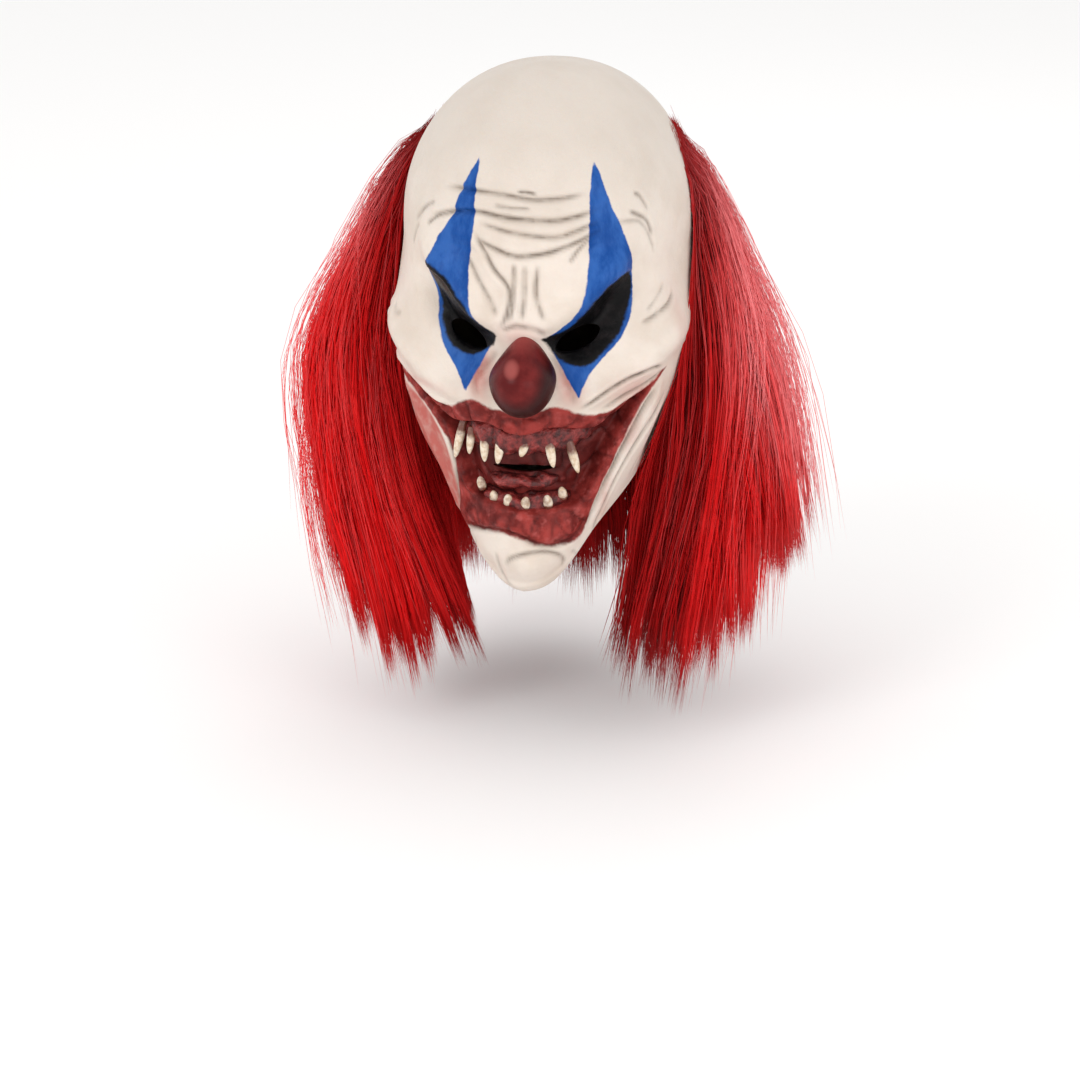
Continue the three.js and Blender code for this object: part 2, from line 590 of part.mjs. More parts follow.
// A path through a lock of hair from the skin to its tip.
function lockPath(root, belly, tip) {
  const outward = new THREE.Vector3(root.x, root.y, 0).normalize();
  const shoulder = root.clone().addScaledVector(outward, LOCK_THICKNESS * SHOULDER_OUT);
  shoulder.z -= LOCK_THICKNESS * SHOULDER_DROP;
  return new THREE.CatmullRomCurve3([root, shoulder, belly, tip], false, "centripetal");
}

// A flat-sided lock: its wide side follows the head, and its sections swell and taper.
function lock(path, size) {
  const rings = [];
  for (let i = 0; i <= LOCK_STEPS; i += 1) {
    const here = path.getPoint(i / LOCK_STEPS);
    const along = path.getTangent(i / LOCK_STEPS);
    const outward = new THREE.Vector3(here.x, here.y, 0).normalize();
    const wide = new THREE.Vector3().crossVectors(along, outward).normalize();
    const thick = new THREE.Vector3().crossVectors(wide, along).normalize();
    const swell = LOCK_SWELL[i] * size;
    const ring = [];
    for (let k = 0; k < LOCK_SIDES; k += 1) {
      const phase = (2 * Math.PI * (k + 0.5)) / LOCK_SIDES;
      const point = here.clone();
      point.addScaledVector(wide, (Math.cos(phase) * LOCK_WIDTH * swell) / 2);
      point.addScaledVector(thick, (Math.sin(phase) * LOCK_THICKNESS * swell) / 2);
      ring.push(point);
    }
    rings.push(ring);
  }
  return ringSolid(rings);
}

// A closed solid between two grids of points of the same size, the first on the outside.
function sheetSolid(outer, inner) {
  const rows = outer.length;
  const columns = outer[0].length;
  const positions = [];
  for (const grid of [outer, inner]) {
    for (const row of grid) for (const point of row) positions.push(point.x, point.y, point.z);
  }
  const at = (layer, r, c) => layer * rows * columns + r * columns + c;
  const index = [];
  const quad = (a, b, c, d) => index.push(a, b, c, a, c, d);
  for (let r = 0; r + 1 < rows; r += 1) {
    for (let c = 0; c + 1 < columns; c += 1) {
      quad(at(0, r, c), at(0, r, c + 1), at(0, r + 1, c + 1), at(0, r + 1, c));
      quad(at(1, r, c), at(1, r + 1, c), at(1, r + 1, c + 1), at(1, r, c + 1));
    }
    quad(at(0, r, 0), at(0, r + 1, 0), at(1, r + 1, 0), at(1, r, 0));
    quad(at(0, r + 1, columns - 1), at(0, r, columns - 1), at(1, r, columns - 1), at(1, r + 1, columns - 1));
  }
  for (let c = 0; c + 1 < columns; c += 1) {
    quad(at(0, 0, c + 1), at(0, 0, c), at(1, 0, c), at(1, 0, c + 1));
    quad(at(0, rows - 1, c), at(0, rows - 1, c + 1), at(1, rows - 1, c + 1), at(1, rows - 1, c));
  }
  const geometry = new THREE.BufferGeometry();
  geometry.setAttribute("position", new THREE.Float32BufferAttribute(positions, 3));
  geometry.setIndex(index);
  return solid(geometry);
}

// A strip of weft that lies on the skin between two angles and two levels.
function weft(area, side) {
  const { from, to, top, bottom } = area;
  const across = 4;
  const down = 3;
  const layer = (offset) => {
    const grid = [];
    for (let i = 0; i <= across; i += 1) {
      const angle = side * (from + ((to - from) * i) / across);
      const row = [];
      for (let k = 0; k <= down; k += 1) row.push(skin(angle, top + ((bottom - top) * k) / down, offset));
      grid.push(row);
    }
    return grid;
  };
  return sheetSolid(layer(WEFT_THICKNESS), layer(-WALL / 2));
}

// The wedge behind the head that belongs to the back hair, grown by a margin.
function backSector(grow) {
  const half = radians(180 - HAIR_PARTING);
  const reach = 3 * HAIR_HALF_WIDTH;
  const shape = new THREE.Shape();
  shape.moveTo(0, 0);
  shape.lineTo(reach * Math.sin(half), reach * Math.cos(half));
  shape.lineTo(-reach * Math.sin(half), reach * Math.cos(half));
  const geometry = new THREE.ExtrudeGeometry(shape, { depth: 2 * HAIR_LENGTH, bevelEnabled: false });
  geometry.translate(0, -grow / Math.sin(half), -1.5 * HAIR_LENGTH);
  return solid(geometry);
}

// Locks and weft joined as one solid. Side turns the whole to the right or the left.
function hair(locks, area, side, reach) {
  const place = ([across, down, fore]) =>
    new THREE.Vector3(
      side * across * (HAIR_HALF_WIDTH - LOCK_THICKNESS / 2),
      -fore * (reach - LOCK_THICKNESS / 2),
      WALL - down * HAIR_LENGTH,
    );
  const pieces = locks.map((row) => {
    const root = skin(side * row.angle, row.level, 0);
    return lock(lockPath(root, place(row.belly), place(row.tip)), row.size);
  });
  return wasm.Manifold.union([weft(area, side), ...pieces]);
}

function sideHair(side) {
  const whole = hair(SIDE_LOCKS, SIDE_WEFT, side, HAIR_FRONT);
  return outerBody(whole.subtract(backSector(FIT_GAP / 2)).subtract(seat));
}

function backHair() {
  const whole = hair(BACK_LOCKS, BACK_WEFT, 1, HAIR_BACK);
  return outerBody(whole.intersect(backSector(-FIT_GAP / 2)).subtract(seat));
}

const mask = new THREE.Group();
mask.add(named("latex_skin", latexSkin(), LATEX));
mask.add(named("nose", nose(), NOSE_PAINT));

const [upperGum, tongue, lowerGum] = GUMS;
const jaws = [
  { bar: upperGum, teeth: UPPER_TEETH, up: -1, label: "upper_tooth" },
  { bar: lowerGum, teeth: LOWER_TEETH, up: 1, label: "lower_tooth" },
];
for (const { bar, teeth, up, label } of jaws) {
  let flesh = gum(bar);
  teeth.forEach((row, i) => {
    flesh = flesh.subtract(tooth(row, bar, up, FIT_GAP));
    mask.add(named(`${label}_${i + 1}`, tooth(row, bar, up, 0), ENAMEL));
  });
  mask.add(named(bar.name, flesh, FLESH));
}
mask.add(named(tongue.name, gum(tongue), FLESH));

mask.add(named("hair_left", sideHair(-1), HAIR));
mask.add(named("hair_right", sideHair(1), HAIR));
mask.add(named("hair_back", backHair(), HAIR));

export default mask;
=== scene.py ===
import math

import bpy
import numpy as np
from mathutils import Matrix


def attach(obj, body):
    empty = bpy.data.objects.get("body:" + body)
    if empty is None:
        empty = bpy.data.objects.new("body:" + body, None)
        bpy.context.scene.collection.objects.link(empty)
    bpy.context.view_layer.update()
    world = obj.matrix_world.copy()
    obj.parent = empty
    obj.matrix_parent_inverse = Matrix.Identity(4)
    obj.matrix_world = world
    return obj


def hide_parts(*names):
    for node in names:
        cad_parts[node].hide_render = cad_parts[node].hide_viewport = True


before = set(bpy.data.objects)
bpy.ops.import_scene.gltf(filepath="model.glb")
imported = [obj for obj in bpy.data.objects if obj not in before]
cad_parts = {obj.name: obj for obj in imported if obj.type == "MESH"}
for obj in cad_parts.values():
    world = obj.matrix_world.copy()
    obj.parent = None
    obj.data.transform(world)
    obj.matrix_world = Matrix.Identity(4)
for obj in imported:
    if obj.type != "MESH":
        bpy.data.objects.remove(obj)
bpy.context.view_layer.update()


# Camera, floor and light. The mask is seen a little from its left and from above, over a
# pale floor just under the tips of the hair, in the soft light of a wide lamp at the upper left.
HEAD_MIDDLE = (0.0, 0.0, -0.130)
CAMERA_AZIMUTH = math.radians(9.0)
CAMERA_ELEVATION = math.radians(14.0)
CAMERA_DISTANCE = 1.6
CAMERA_TILT = math.radians(18.7)
CAMERA_TURN = math.radians(9.2)
CAMERA_LENS = 97.0
FLOOR_HEIGHT = -0.366

level_reach = CAMERA_DISTANCE * math.cos(CAMERA_ELEVATION)
camera = bpy.data.objects.new("camera", bpy.data.cameras.new("camera"))
bpy.context.scene.collection.objects.link(camera)
camera.location = (
    HEAD_MIDDLE[0] + level_reach * math.sin(CAMERA_AZIMUTH),
    HEAD_MIDDLE[1] - level_reach * math.cos(CAMERA_AZIMUTH),
    HEAD_MIDDLE[2] + CAMERA_DISTANCE * math.sin(CAMERA_ELEVATION),
)
camera.rotation_euler = (math.radians(90.0) - CAMERA_TILT, 0.0, CAMERA_TURN)
camera.data.sensor_width = 36.0
camera.data.lens = CAMERA_LENS
bpy.context.scene.camera = camera
bpy.context.scene.view_settings.view_transform = "Standard"


def add_node(tree, kind, settings=None, **sockets):
    """A shader node with its settings, and its sockets set or linked by name."""
    made = tree.nodes.new(kind)
    for key, value in (settings or {}).items():
        setattr(made, key, value)
    for key, value in sockets.items():
        wanted = key.replace("_", " ").lower()
        socket = next(s for s in made.inputs if s.name.lower() == wanted and s.enabled)
        if isinstance(value, bpy.types.NodeSocket):
            tree.links.new(value, socket)
        else:
            socket.default_value = value
    return made


def new_material(name, **sockets):
    """A material with one Principled shader, whose constant values are set on its own sockets."""
    material = bpy.data.materials.new(name)
    material.use_nodes = True
    tree = material.node_tree
    tree.nodes.clear()
    shader = add_node(tree, "ShaderNodeBsdfPrincipled", **sockets)
    output = add_node(tree, "ShaderNodeOutputMaterial", surface=shader.outputs["BSDF"])
    output.location.x = 400
    return material, tree, shader


def rgb(red, green, blue):
    """A colour given in screen values from 0 to 255, as the shader wants it."""
    shares = [value / 255.0 for value in (red, green, blue)]
    linear = [s / 12.92 if s <= 0.04045 else ((s + 0.055) / 1.055) ** 2.4 for s in shares]
    return (*linear, 1.0)


bpy.ops.object.select_all(action="DESELECT")
bpy.ops.mesh.primitive_plane_add(size=16.0, location=(0.0, 0.0, FLOOR_HEIGHT))
floor = bpy.context.object
floor.name = "floor"
floor_paint, tree, shader = new_material("floor_paint", roughness=0.9)
spots = add_node(tree, "ShaderNodeTexNoise", scale=1.5, detail=2.0)
tint = add_node(tree, "ShaderNodeMix", {"data_type": "RGBA"}, factor=spots.outputs["Fac"])
tint.inputs["A"].default_value = rgb(247, 246, 245)
tint.inputs["B"].default_value = rgb(250, 249, 248)
tree.links.new(tint.outputs["Result"], shader.inputs["Base Color"])
floor.data.materials.append(floor_paint)

world = bpy.data.worlds.new("studio")
world.use_nodes = True
world.node_tree.nodes["Background"].inputs["Color"].default_value = (1.0, 1.0, 1.0, 1.0)
world.node_tree.nodes["Background"].inputs["Strength"].default_value = 0.98
bpy.context.scene.world = world


def add_lamp(name, place, aim, size, power):
    """A square lamp that looks at a point."""
    lamp = bpy.data.objects.new(name, bpy.data.lights.new(name, "AREA"))
    lamp.data.size = size
    lamp.data.energy = power
    bpy.context.scene.collection.objects.link(lamp)
    lamp.location = place
    along = np.array(aim) - np.array(place)
    flat = math.hypot(along[0], along[1])
    lamp.rotation_euler = (math.atan2(flat, -along[2]), 0.0, math.atan2(-along[0], along[1]))
    return lamp


add_lamp("key_lamp", (-0.9, -1.5, 0.9), (0.0, 0.0, -0.14), 0.9, 10.0)
add_lamp("fill_lamp", (1.4, -1.3, 0.3), (0.0, 0.0, -0.15), 1.2, 8.0)
add_lamp("back_lamp", (0.3, 1.6, 1.2), (0.0, 0.1, -0.1), 1.0, 3.0)


# The skin of the mask: one hollow casting of soft latex about 2 mm thick, from the bald crown to
# the edge that rolls under the jaw. It is cast in a sculpted mould, so the wrinkles, the lips and
# the folds of the grin are part of it, and the make-up is painted on by hand.
MM = 0.001
WALL = 2.0
HALF_WIDTH = 82.0
FRONT_DEPTH = 102.0
BACK_DEPTH = 106.0
MASK_HEIGHT = 273.0
DOME_LEVEL = 0.34
DOME_FULLNESS = 2.2
BACK_FULLNESS = 2.1
HEM_DROP = 9.0
HEM_TUCK = 17.0
HEM_SWEEP = math.radians(78.0)
STRETCH_LEVEL = 0.5
LAST_LEVEL = 0.945
RELIEF = 10.0
UNROLL_RADIUS = (HALF_WIDTH + FRONT_DEPTH) / 2
MOUTH_DEPTH = 13.0

HEAD_SECTIONS = {
    "level": [0.34, 0.43, 0.52, 0.6, 0.69, 0.78, 0.86, 0.92, 0.97, 1.0],
    "side": [0.965, 0.995, 1.0, 0.965, 0.87, 0.745, 0.61, 0.475, 0.35, 0.27],
    "front": [1.005, 1.0, 0.99, 1.0, 1.01, 1.0, 0.985, 0.955, 0.905, 0.85],
    "back": [1.01, 1.015, 1.0, 0.965, 0.905, 0.84, 0.8, 0.77, 0.74, 0.72],
    "point": [2.15, 2.15, 2.1, 2.0, 1.92, 1.9, 1.92, 2.0, 2.1, 2.1],
}
JAW_LINE = {
    "angle": [0, 10, 20, 30, 45, 60, 85, 120, 180],
    "level": [0.962, 0.948, 0.9, 0.852, 0.803, 0.768, 0.765, 0.785, 0.81],
    "roll": [1, 1, 0.95, 0.85, 0.7, 0.55, 0.45, 0.35, 0.3],
}
# Soft mounds and hollows: angle, level, half width, half height, turn and rise as in the part.
SIDE_MOUNDS = [
    (12, 0.415, 0.17, 0.075, 40, 0.62),  # inner brow
    (27, 0.338, 0.2, 0.09, 42, 0.55),  # outer brow
    (19, 0.47, 0.2, 0.1, 30, -1.15),  # eye socket
    (29, 0.412, 0.16, 0.1, 50, -0.75),  # outer corner of the socket
    (62, 0.35, 0.28, 0.3, 0, -0.3),  # temple
    (54, 0.49, 0.27, 0.14, 18, 0.75),  # high cheek
    (37, 0.535, 0.24, 0.12, 22, 0.7),  # middle of the cheek
    (22, 0.58, 0.16, 0.08, 18, 0.5),  # low cheek
    (47, 0.68, 0.12, 0.34, -30, 0.5),  # fold beside the grin
    (62, 0.7, 0.22, 0.24, -15, -0.4),  # hollow of the jaw
    (10, 0.555, 0.12, 0.15, -20, 0.5),  # wing of the nose
    (17, 0.91, 0.16, 0.14, 0, 0.3),  # side of the chin
]
MIDDLE_MOUNDS = [
    (0, 0.48, 0.12, 0.26, 0, 0.75),  # bridge of the nose
    (0, 0.38, 0.06, 0.16, 0, 0.25),  # frown
    (3, 0.918, 0.17, 0.14, 0, 0.7),  # ball of the chin
]
# Wide forehead wrinkles: level at the middle, sag, reach in degrees and depth.
FOREHEAD_WRINKLES = [
    (0.197, 0.011, 27, 1.4),
    (0.231, 0.011, 28, 1.6),
    (0.261, 0.011, 21, 1.5),
    (0.292, 0.014, 25, 1.7),
]
WRINKLE_WIDTH = 4.2


def table_curve(table, key, at, value):
    """A smooth curve through one column of a table."""
    xs = np.array(table[key], float)
    ys = np.array(table[value], float)
    at = np.clip(at, xs[0], xs[-1])
    slopes = np.empty_like(ys)
    slopes[1:-1] = (ys[2:] - ys[:-2]) / (xs[2:] - xs[:-2])
    slopes[0] = (ys[1] - ys[0]) / (xs[1] - xs[0])
    slopes[-1] = (ys[-1] - ys[-2]) / (xs[-1] - xs[-2])
    i = np.clip(np.searchsorted(xs, at) - 1, 0, len(xs) - 2)
    step = xs[i + 1] - xs[i]
    t = (at - xs[i]) / step
    bend = step * ((t**3 - 2 * t**2 + t) * slopes[i] + (t**3 - t**2) * slopes[i + 1])
    return ys[i] * (2 * t**3 - 3 * t**2 + 1) + ys[i + 1] * (3 * t**2 - 2 * t**3) + bend


def ease(x):
    """0 below 0, 1 above 1 and smooth between."""
    x = np.clip(x, 0.0, 1.0)
    return x * x * (3 - 2 * x)


def bare_radius(angle, level):
    """Distance from the head's axis to the bare skin, in millimetres."""
    below = np.maximum(level, DOME_LEVEL)
    up = np.maximum(0.0, 1 - level / DOME_LEVEL)
    dome = np.maximum(0.0, 1 - up**DOME_FULLNESS) ** (1 / DOME_FULLNESS)
    sine = np.abs(np.sin(np.radians(angle)))
    cosine = np.cos(np.radians(angle))
    side = HALF_WIDTH * table_curve(HEAD_SECTIONS, "level", below, "side")
    front = FRONT_DEPTH * table_curve(HEAD_SECTIONS, "level", below, "front")
    back = BACK_DEPTH * table_curve(HEAD_SECTIONS, "level", below, "back")
    power = np.where(cosine > 0, table_curve(HEAD_SECTIONS, "level", below, "point"), BACK_FULLNESS)
    depth = np.where(cosine > 0, front, back)
    return dome * ((sine / side) ** power + (np.abs(cosine) / depth) ** power) ** (-1 / power)


def soft_relief(angle, level):
    """Height of the mounds, hollows and forehead wrinkles over the bare skin."""
    turned = np.abs(angle)
    rise = np.zeros_like(angle)
    rows = [(turned, row) for row in SIDE_MOUNDS] + [(angle, row) for row in MIDDLE_MOUNDS]
    for place, (middle, middle_level, wide, tall, turn, height) in rows:
        across = np.radians(place - middle) * UNROLL_RADIUS
        up = (middle_level - level) * MASK_HEIGHT
        c, s = math.cos(math.radians(turn)), math.sin(math.radians(turn))
        along = (across * c + up * s) / (wide * HALF_WIDTH)
        over = (up * c - across * s) / (tall * HALF_WIDTH)
        rise += RELIEF * height * np.exp(-(along**2 + over**2))
    for middle_level, sag, reach, depth in FOREHEAD_WRINKLES:
        share = turned / reach
        off = (level - middle_level - sag * (1 - share * share)) * MASK_HEIGHT / WRINKLE_WIDTH
        rise -= depth * np.exp(-off * off) * ease((1.15 - share) / 0.35)
    return rise


def rounded(points, steps=6):
    """An open path through the points with its corners rounded."""
    points = np.array(points, float)
    ends = np.vstack([2 * points[0] - points[1], points, 2 * points[-1] - points[-2]])
    made = []
    for i in range(len(points) - 1):
        a, b, c, d = ends[i : i + 4]
        for t in np.arange(steps) / steps:
            bend = (2 * a - 5 * b + 4 * c - d) * t**2 + (3 * b - a - 3 * c + d) * t**3
            made.append(0.5 * (2 * b + (c - a) * t + bend))
    made.append(points[-1])
    return np.array(made)


def nearest(path, across, down):
    """Distance to a path, the share of its length there, and the side: above is positive."""
    lengths = np.hypot(*(path[1:] - path[:-1]).T)
    starts = np.concatenate([[0.0], np.cumsum(lengths)])
    best = np.full(across.shape, 1e9)
    share = np.zeros(across.shape)
    side = np.ones(across.shape)
    for i, length in enumerate(lengths):
        dx, dy = (path[i + 1] - path[i]) / length
        px = across - path[i][0]
        py = down - path[i][1]
        t = np.clip(px * dx + py * dy, 0.0, length)
        gap = np.hypot(px - t * dx, py - t * dy)
        closer = gap < best
        best = np.where(closer, gap, best)
        share = np.where(closer, (starts[i] + t) / starts[-1], share)
        side = np.where(closer, np.sign(dy * px - dx * py), side)
    return best, share, side


def depth_inside(outline, across, down):
    """How far a place lies inside a closed outline, in millimetres. Outside it is negative."""
    path = np.vstack([outline, outline[:1]])
    apart = np.hypot(*(path - np.roll(path, 1, axis=0)).T) > 1e-6
    gap = nearest(path[apart], across, down)[0]
    inside = np.zeros(across.shape, bool)
    for (x0, y0), (x1, y1) in zip(path[:-1], path[1:]):
        if y0 == y1:
            continue
        crossing = (y0 > down) != (y1 > down)
        inside ^= crossing & (across < x0 + (down - y0) * (x1 - x0) / (y1 - y0))
    return np.where(inside, gap, -gap)


# Every place on the skin from here on is (across, down): millimetres round the head from the
# nose, positive to the mask's left, and millimetres down from the crown.
MOUTH_TOP = [
    (-93, 152), (-85, 154), (-72, 160), (-56, 167), (-44, 172), (-35, 175), (-22, 173), (-12, 174), (-3, 178),
    (6, 177), (15, 174), (25, 175), (37, 176), (48, 170), (60, 163), (72, 157), (82, 152),
]
MOUTH_BOTTOM = [
    (75, 160), (66, 168), (58, 179), (50, 192), (43, 205), (35, 216), (25, 221), (12, 223), (0, 222),
    (-12, 220), (-24, 218), (-33, 213), (-38, 203), (-40.5, 190), (-47, 180), (-61, 171), (-78, 161),
]
MOUTH_EDGE = np.vstack([rounded(MOUTH_TOP), rounded(MOUTH_BOTTOM)])
# How deep the open mouth is, as a share of its full depth, at an angle from the nose.
MOUTH_DEEP = {
    "angle": [0, 15, 20, 24, 30, 37, 46, 53, 58],
    "deep": [1, 1, 1, 0.95, 0.85, 0.7, 0.55, 0.4, 0.25],
}

RED_GRIN = np.vstack([
    rounded([
        (-107, 157), (-88, 158), (-67, 163), (-50, 167.5), (-38, 168), (-30, 164), (-21, 161), (-13, 165),
        (0, 167),
    ]),
    rounded([
        (4, 167), (12, 164), (19, 163), (28.5, 168), (40, 169), (53.4, 164.5), (64, 159.5), (77.5, 153.5),
        (84, 151.5),
    ]),
    rounded([
        (83, 153), (73, 162), (64, 173), (57, 186), (50, 200), (43, 214), (37, 230), (31, 240), (22, 241.5),
        (8, 239),
    ]),
    rounded([
        (-1.2, 235), (-15.3, 234), (-38.5, 239.5), (-44, 240), (-42, 226), (-40, 206), (-43, 190),
        (-53, 179),
    ]),
    rounded([(-53, 179), (-71.5, 169), (-88, 162), (-107, 159)]),
])

# Creases and edges cut in the sculpture: the path, its height or depth, the width above it and
# below it, and how much brown wash lies in it, partly real wash and partly painted shade in the crease.
FOLDS = [
    ([(-47, 54), (-35, 53), (-25, 53), (-8, 54), (7, 56), (23, 55), (35, 53)], -0.9, 1.3, 1.3, 0.7),
    ([(-54, 69), (-44, 67), (-37, 65), (-22, 63), (-7, 65), (8, 66), (19, 66), (34, 63), (41, 60)],
     -1.0, 1.4, 1.4, 0.8),
    ([(-22, 68), (-10, 71), (0, 73), (10, 74), (20, 74), (34, 69), (42, 67)], -0.9, 1.3, 1.3, 0.7),
    ([(-24, 75), (-15, 79), (-3, 84), (10, 83), (20, 80), (34, 74), (42, 70)], -1.0, 1.4, 1.4, 0.8),
    ([(-14, 59), (-4, 60), (6, 60)], -0.5, 1.0, 1.0, 0.5),
    ([(-2, 52), (3, 52), (8, 53)], -0.4, 1.0, 0.8, 0.9),
    ([(-24, 72), (-17, 82), (-11, 92), (-4, 101), (-5, 114), (-9, 123)], -1.0, 1.3, 1.3, 0.75),
    ([(-26, 84), (-20, 96), (-14, 106), (-9, 116)], -0.8, 1.3, 1.3, 0.6),
    ([(-2, 86), (-2, 106), (-4, 118)], -0.9, 1.2, 1.2, 0.7),
    ([(3, 87), (3, 104), (2, 117)], -0.8, 1.2, 1.2, 0.6),
    ([(9, 87), (8, 100), (9, 108), (12, 117)], -0.8, 1.2, 1.2, 0.7),
    ([(35, 74), (29, 80), (23, 88)], -0.8, 1.2, 1.2, 0.6),
    ([(-8, 122), (0, 119), (8, 121), (13, 125)], -0.9, 1.4, 1.4, 0.6),
    ([(-66, 74), (-58, 66), (-49, 61)], -0.7, 1.4, 1.4, 0.55),
    ([(-54, 74), (-46, 68), (-38, 65)], -0.8, 1.3, 1.3, 0.7),
    ([(-70, 88), (-64, 78), (-60, 74)], -0.5, 1.3, 1.3, 0.35),
    ([(56, 64), (63, 67), (69, 71), (73, 80)], -0.8, 1.4, 1.4, 0.7),
    ([(61, 56), (66, 58), (71, 66)], -0.6, 1.3, 1.3, 0.6),
    ([(46, 70), (55, 69), (64, 71), (72, 82), (75, 90)], -0.5, 1.4, 1.4, 0.4),
    ([(62, 124), (77, 120), (86, 117), (94, 112)], -0.9, 1.4, 1.4, 0.6),
    ([(66, 118), (76, 112), (84, 106)], -0.4, 1.2, 1.2, 0.35),
    ([(-112, 141), (-104, 132), (-97, 124)], -0.9, 1.6, 1.6, 0.5),
    ([(-90, 122), (-84, 126), (-76, 126)], -0.6, 1.4, 1.4, 0.3),
    ([(-110, 152), (-98, 148), (-84, 146)], -1.0, 1.5, 1.5, 0.8),
    ([(-53, 91), (-43, 94), (-36, 98), (-29, 108), (-20, 119), (-11, 125)], 2.3, 8.0, 1.3, 0.0),
    ([(10, 127), (22, 123), (33, 112), (43, 100), (52, 94), (60, 93)], 2.3, 8.0, 1.3, 0.0),
    ([(-47, 116), (-43, 125), (-35, 133), (-25, 137), (-14, 132)], 1.0, 1.6, 3.0, 0.0),
    ([(14, 131), (22, 138), (31, 141), (42, 134), (52, 122), (57, 112)], 1.0, 1.6, 3.0, 0.0),
    ([(-96, 152), (-79, 155), (-62, 160), (-48, 166), (-37, 168)], 2.6, 9.0, 1.4, 0.0),
    ([(-96, 154), (-79, 157), (-62, 162), (-48, 168), (-34, 170)], -1.2, 1.2, 1.6, 0.9),
    ([(39, 170), (52, 164), (69, 158), (81, 153.5)], 1.8, 4.0, 1.3, 0.0),
    ([(28, 166), (38, 158), (48, 152.5), (57, 149), (69, 147.5), (80, 150)], -1.2, 1.3, 1.3, 0.95),
    ([(39, 167), (52, 160.5), (69, 155.5), (80, 151.5)], -0.7, 1.2, 1.2, 0.7),
    ([(-47, 176), (-42, 190), (-40, 204), (-43, 222), (-46, 238)], -0.9, 1.5, 1.5, 0.7),
    ([(-92, 160), (-76, 172), (-64, 190), (-57, 208), (-53, 226), (-50, 242)], 1.6, 3.0, 3.0, 0.0),
    ([(-100, 160), (-86, 176), (-76, 194), (-66, 214), (-58, 236)], -0.9, 2.0, 2.0, 0.4),
    ([(80, 159), (70, 170), (60, 186), (51, 202), (42, 220), (36, 238)], -1.0, 1.3, 1.3, 0.8),
    ([(84, 154), (78, 166), (68, 180), (58, 196), (50, 212), (42, 236)], 1.7, 2.6, 2.6, 0.0),
    ([(88, 163), (78, 176), (66, 190), (57, 206), (48, 226), (40, 246)], -0.8, 1.3, 1.3, 0.65),
    ([(96, 160), (92, 178), (80, 196), (70, 214)], -0.5, 1.6, 1.6, 0.25),
    ([(-50, 241), (-38, 239), (-23, 235), (-7, 232.5), (2, 235), (10, 239), (21, 240.5), (31, 236), (36, 224)],
     -1.1, 1.5, 1.5, 0.8),
    ([(-8, 253), (-3, 246), (8, 242.5), (17, 245), (22, 251), (21, 258)], -0.8, 1.3, 1.3, 0.7),
    ([(-13, 245), (-12, 253), (-9, 262), (-4, 266)], -0.5, 1.3, 1.3, 0.4),
    ([(-30, 242), (-32, 252), (-27, 258)], -0.4, 1.3, 1.3, 0.3),
    ([(26, 246), (31, 252), (28, 259)], -0.4, 1.3, 1.3, 0.35),
    ([(-9, 133), (-16, 143), (-21, 152), (-18, 161)], -1.0, 1.6, 1.6, 0.3),
    ([(14, 134), (19, 143), (24, 154), (26, 163)], -0.9, 1.6, 1.6, 0.3),
]
# Lumps of flesh on the lips and small swellings beside the creases: across, down, half width,
# half height and rise.
LUMPS = [
    (-31, 170, 5.5, 3.6, 2.2),
    (-20, 167, 5.0, 3.6, 1.8),
    (-8, 173, 4.4, 4.0, 2.4),
    (2, 174, 3.6, 4.0, 2.2),
    (12, 170, 4.6, 3.6, 2.4),
    (22, 171, 5.0, 3.6, 2.4),
    (33, 171, 5.4, 3.2, 2.2),
    (45, 167, 6.0, 3.0, 1.4),
    (-41, 231, 4.2, 6.0, 2.4),
    (-32, 229, 4.4, 5.6, 3.0),
    (-22, 228, 4.8, 5.2, 3.3),
    (-12, 227, 4.2, 4.8, 3.0),
    (-3, 228.5, 4.2, 4.8, 3.2),
    (5, 231, 3.8, 5.0, 3.2),
    (14, 233, 4.8, 5.4, 4.0),
    (24, 232, 4.8, 6.0, 3.8),
    (33, 225, 4.2, 6.5, 3.0),
    (-27, 220.5, 3.6, 2.6, 1.4),
    (-7, 221.5, 3.8, 2.4, 1.2),
    (10, 224.5, 4.0, 2.6, 1.5),
    (27, 222, 3.6, 2.8, 1.4),
    (40, 212, 3.6, 6.5, 1.8),
    (47, 198, 3.4, 7.5, 1.6),
    (-36, 87, 4.0, 9.0, 0.9),
    (-14, 84, 3.0, 8.0, 0.6),
    (16, 97, 5.0, 11.0, 1.2),
    (-17, 110, 3.0, 9.0, 1.0),
    (62, 135, 14.0, 5.0, 1.0),
    (-66, 138, 12.0, 6.0, 0.7),
    (7, 254, 10.0, 8.0, 1.4),
]


def flesh_creases(across, down):
    """Wandering creases between the lumps of flesh, 1 in a crease."""
    dice = np.random.default_rng(12)
    field = np.zeros(across.shape)
    for _ in range(22):
        turn, phase, length = dice.uniform(0, math.pi), dice.uniform(0, 6.3), dice.uniform(11.0, 30.0)
        field += np.sin(2 * math.pi * (across * math.cos(turn) + down * math.sin(turn)) / length + phase)
    return np.exp(-((field / 1.05) ** 2))


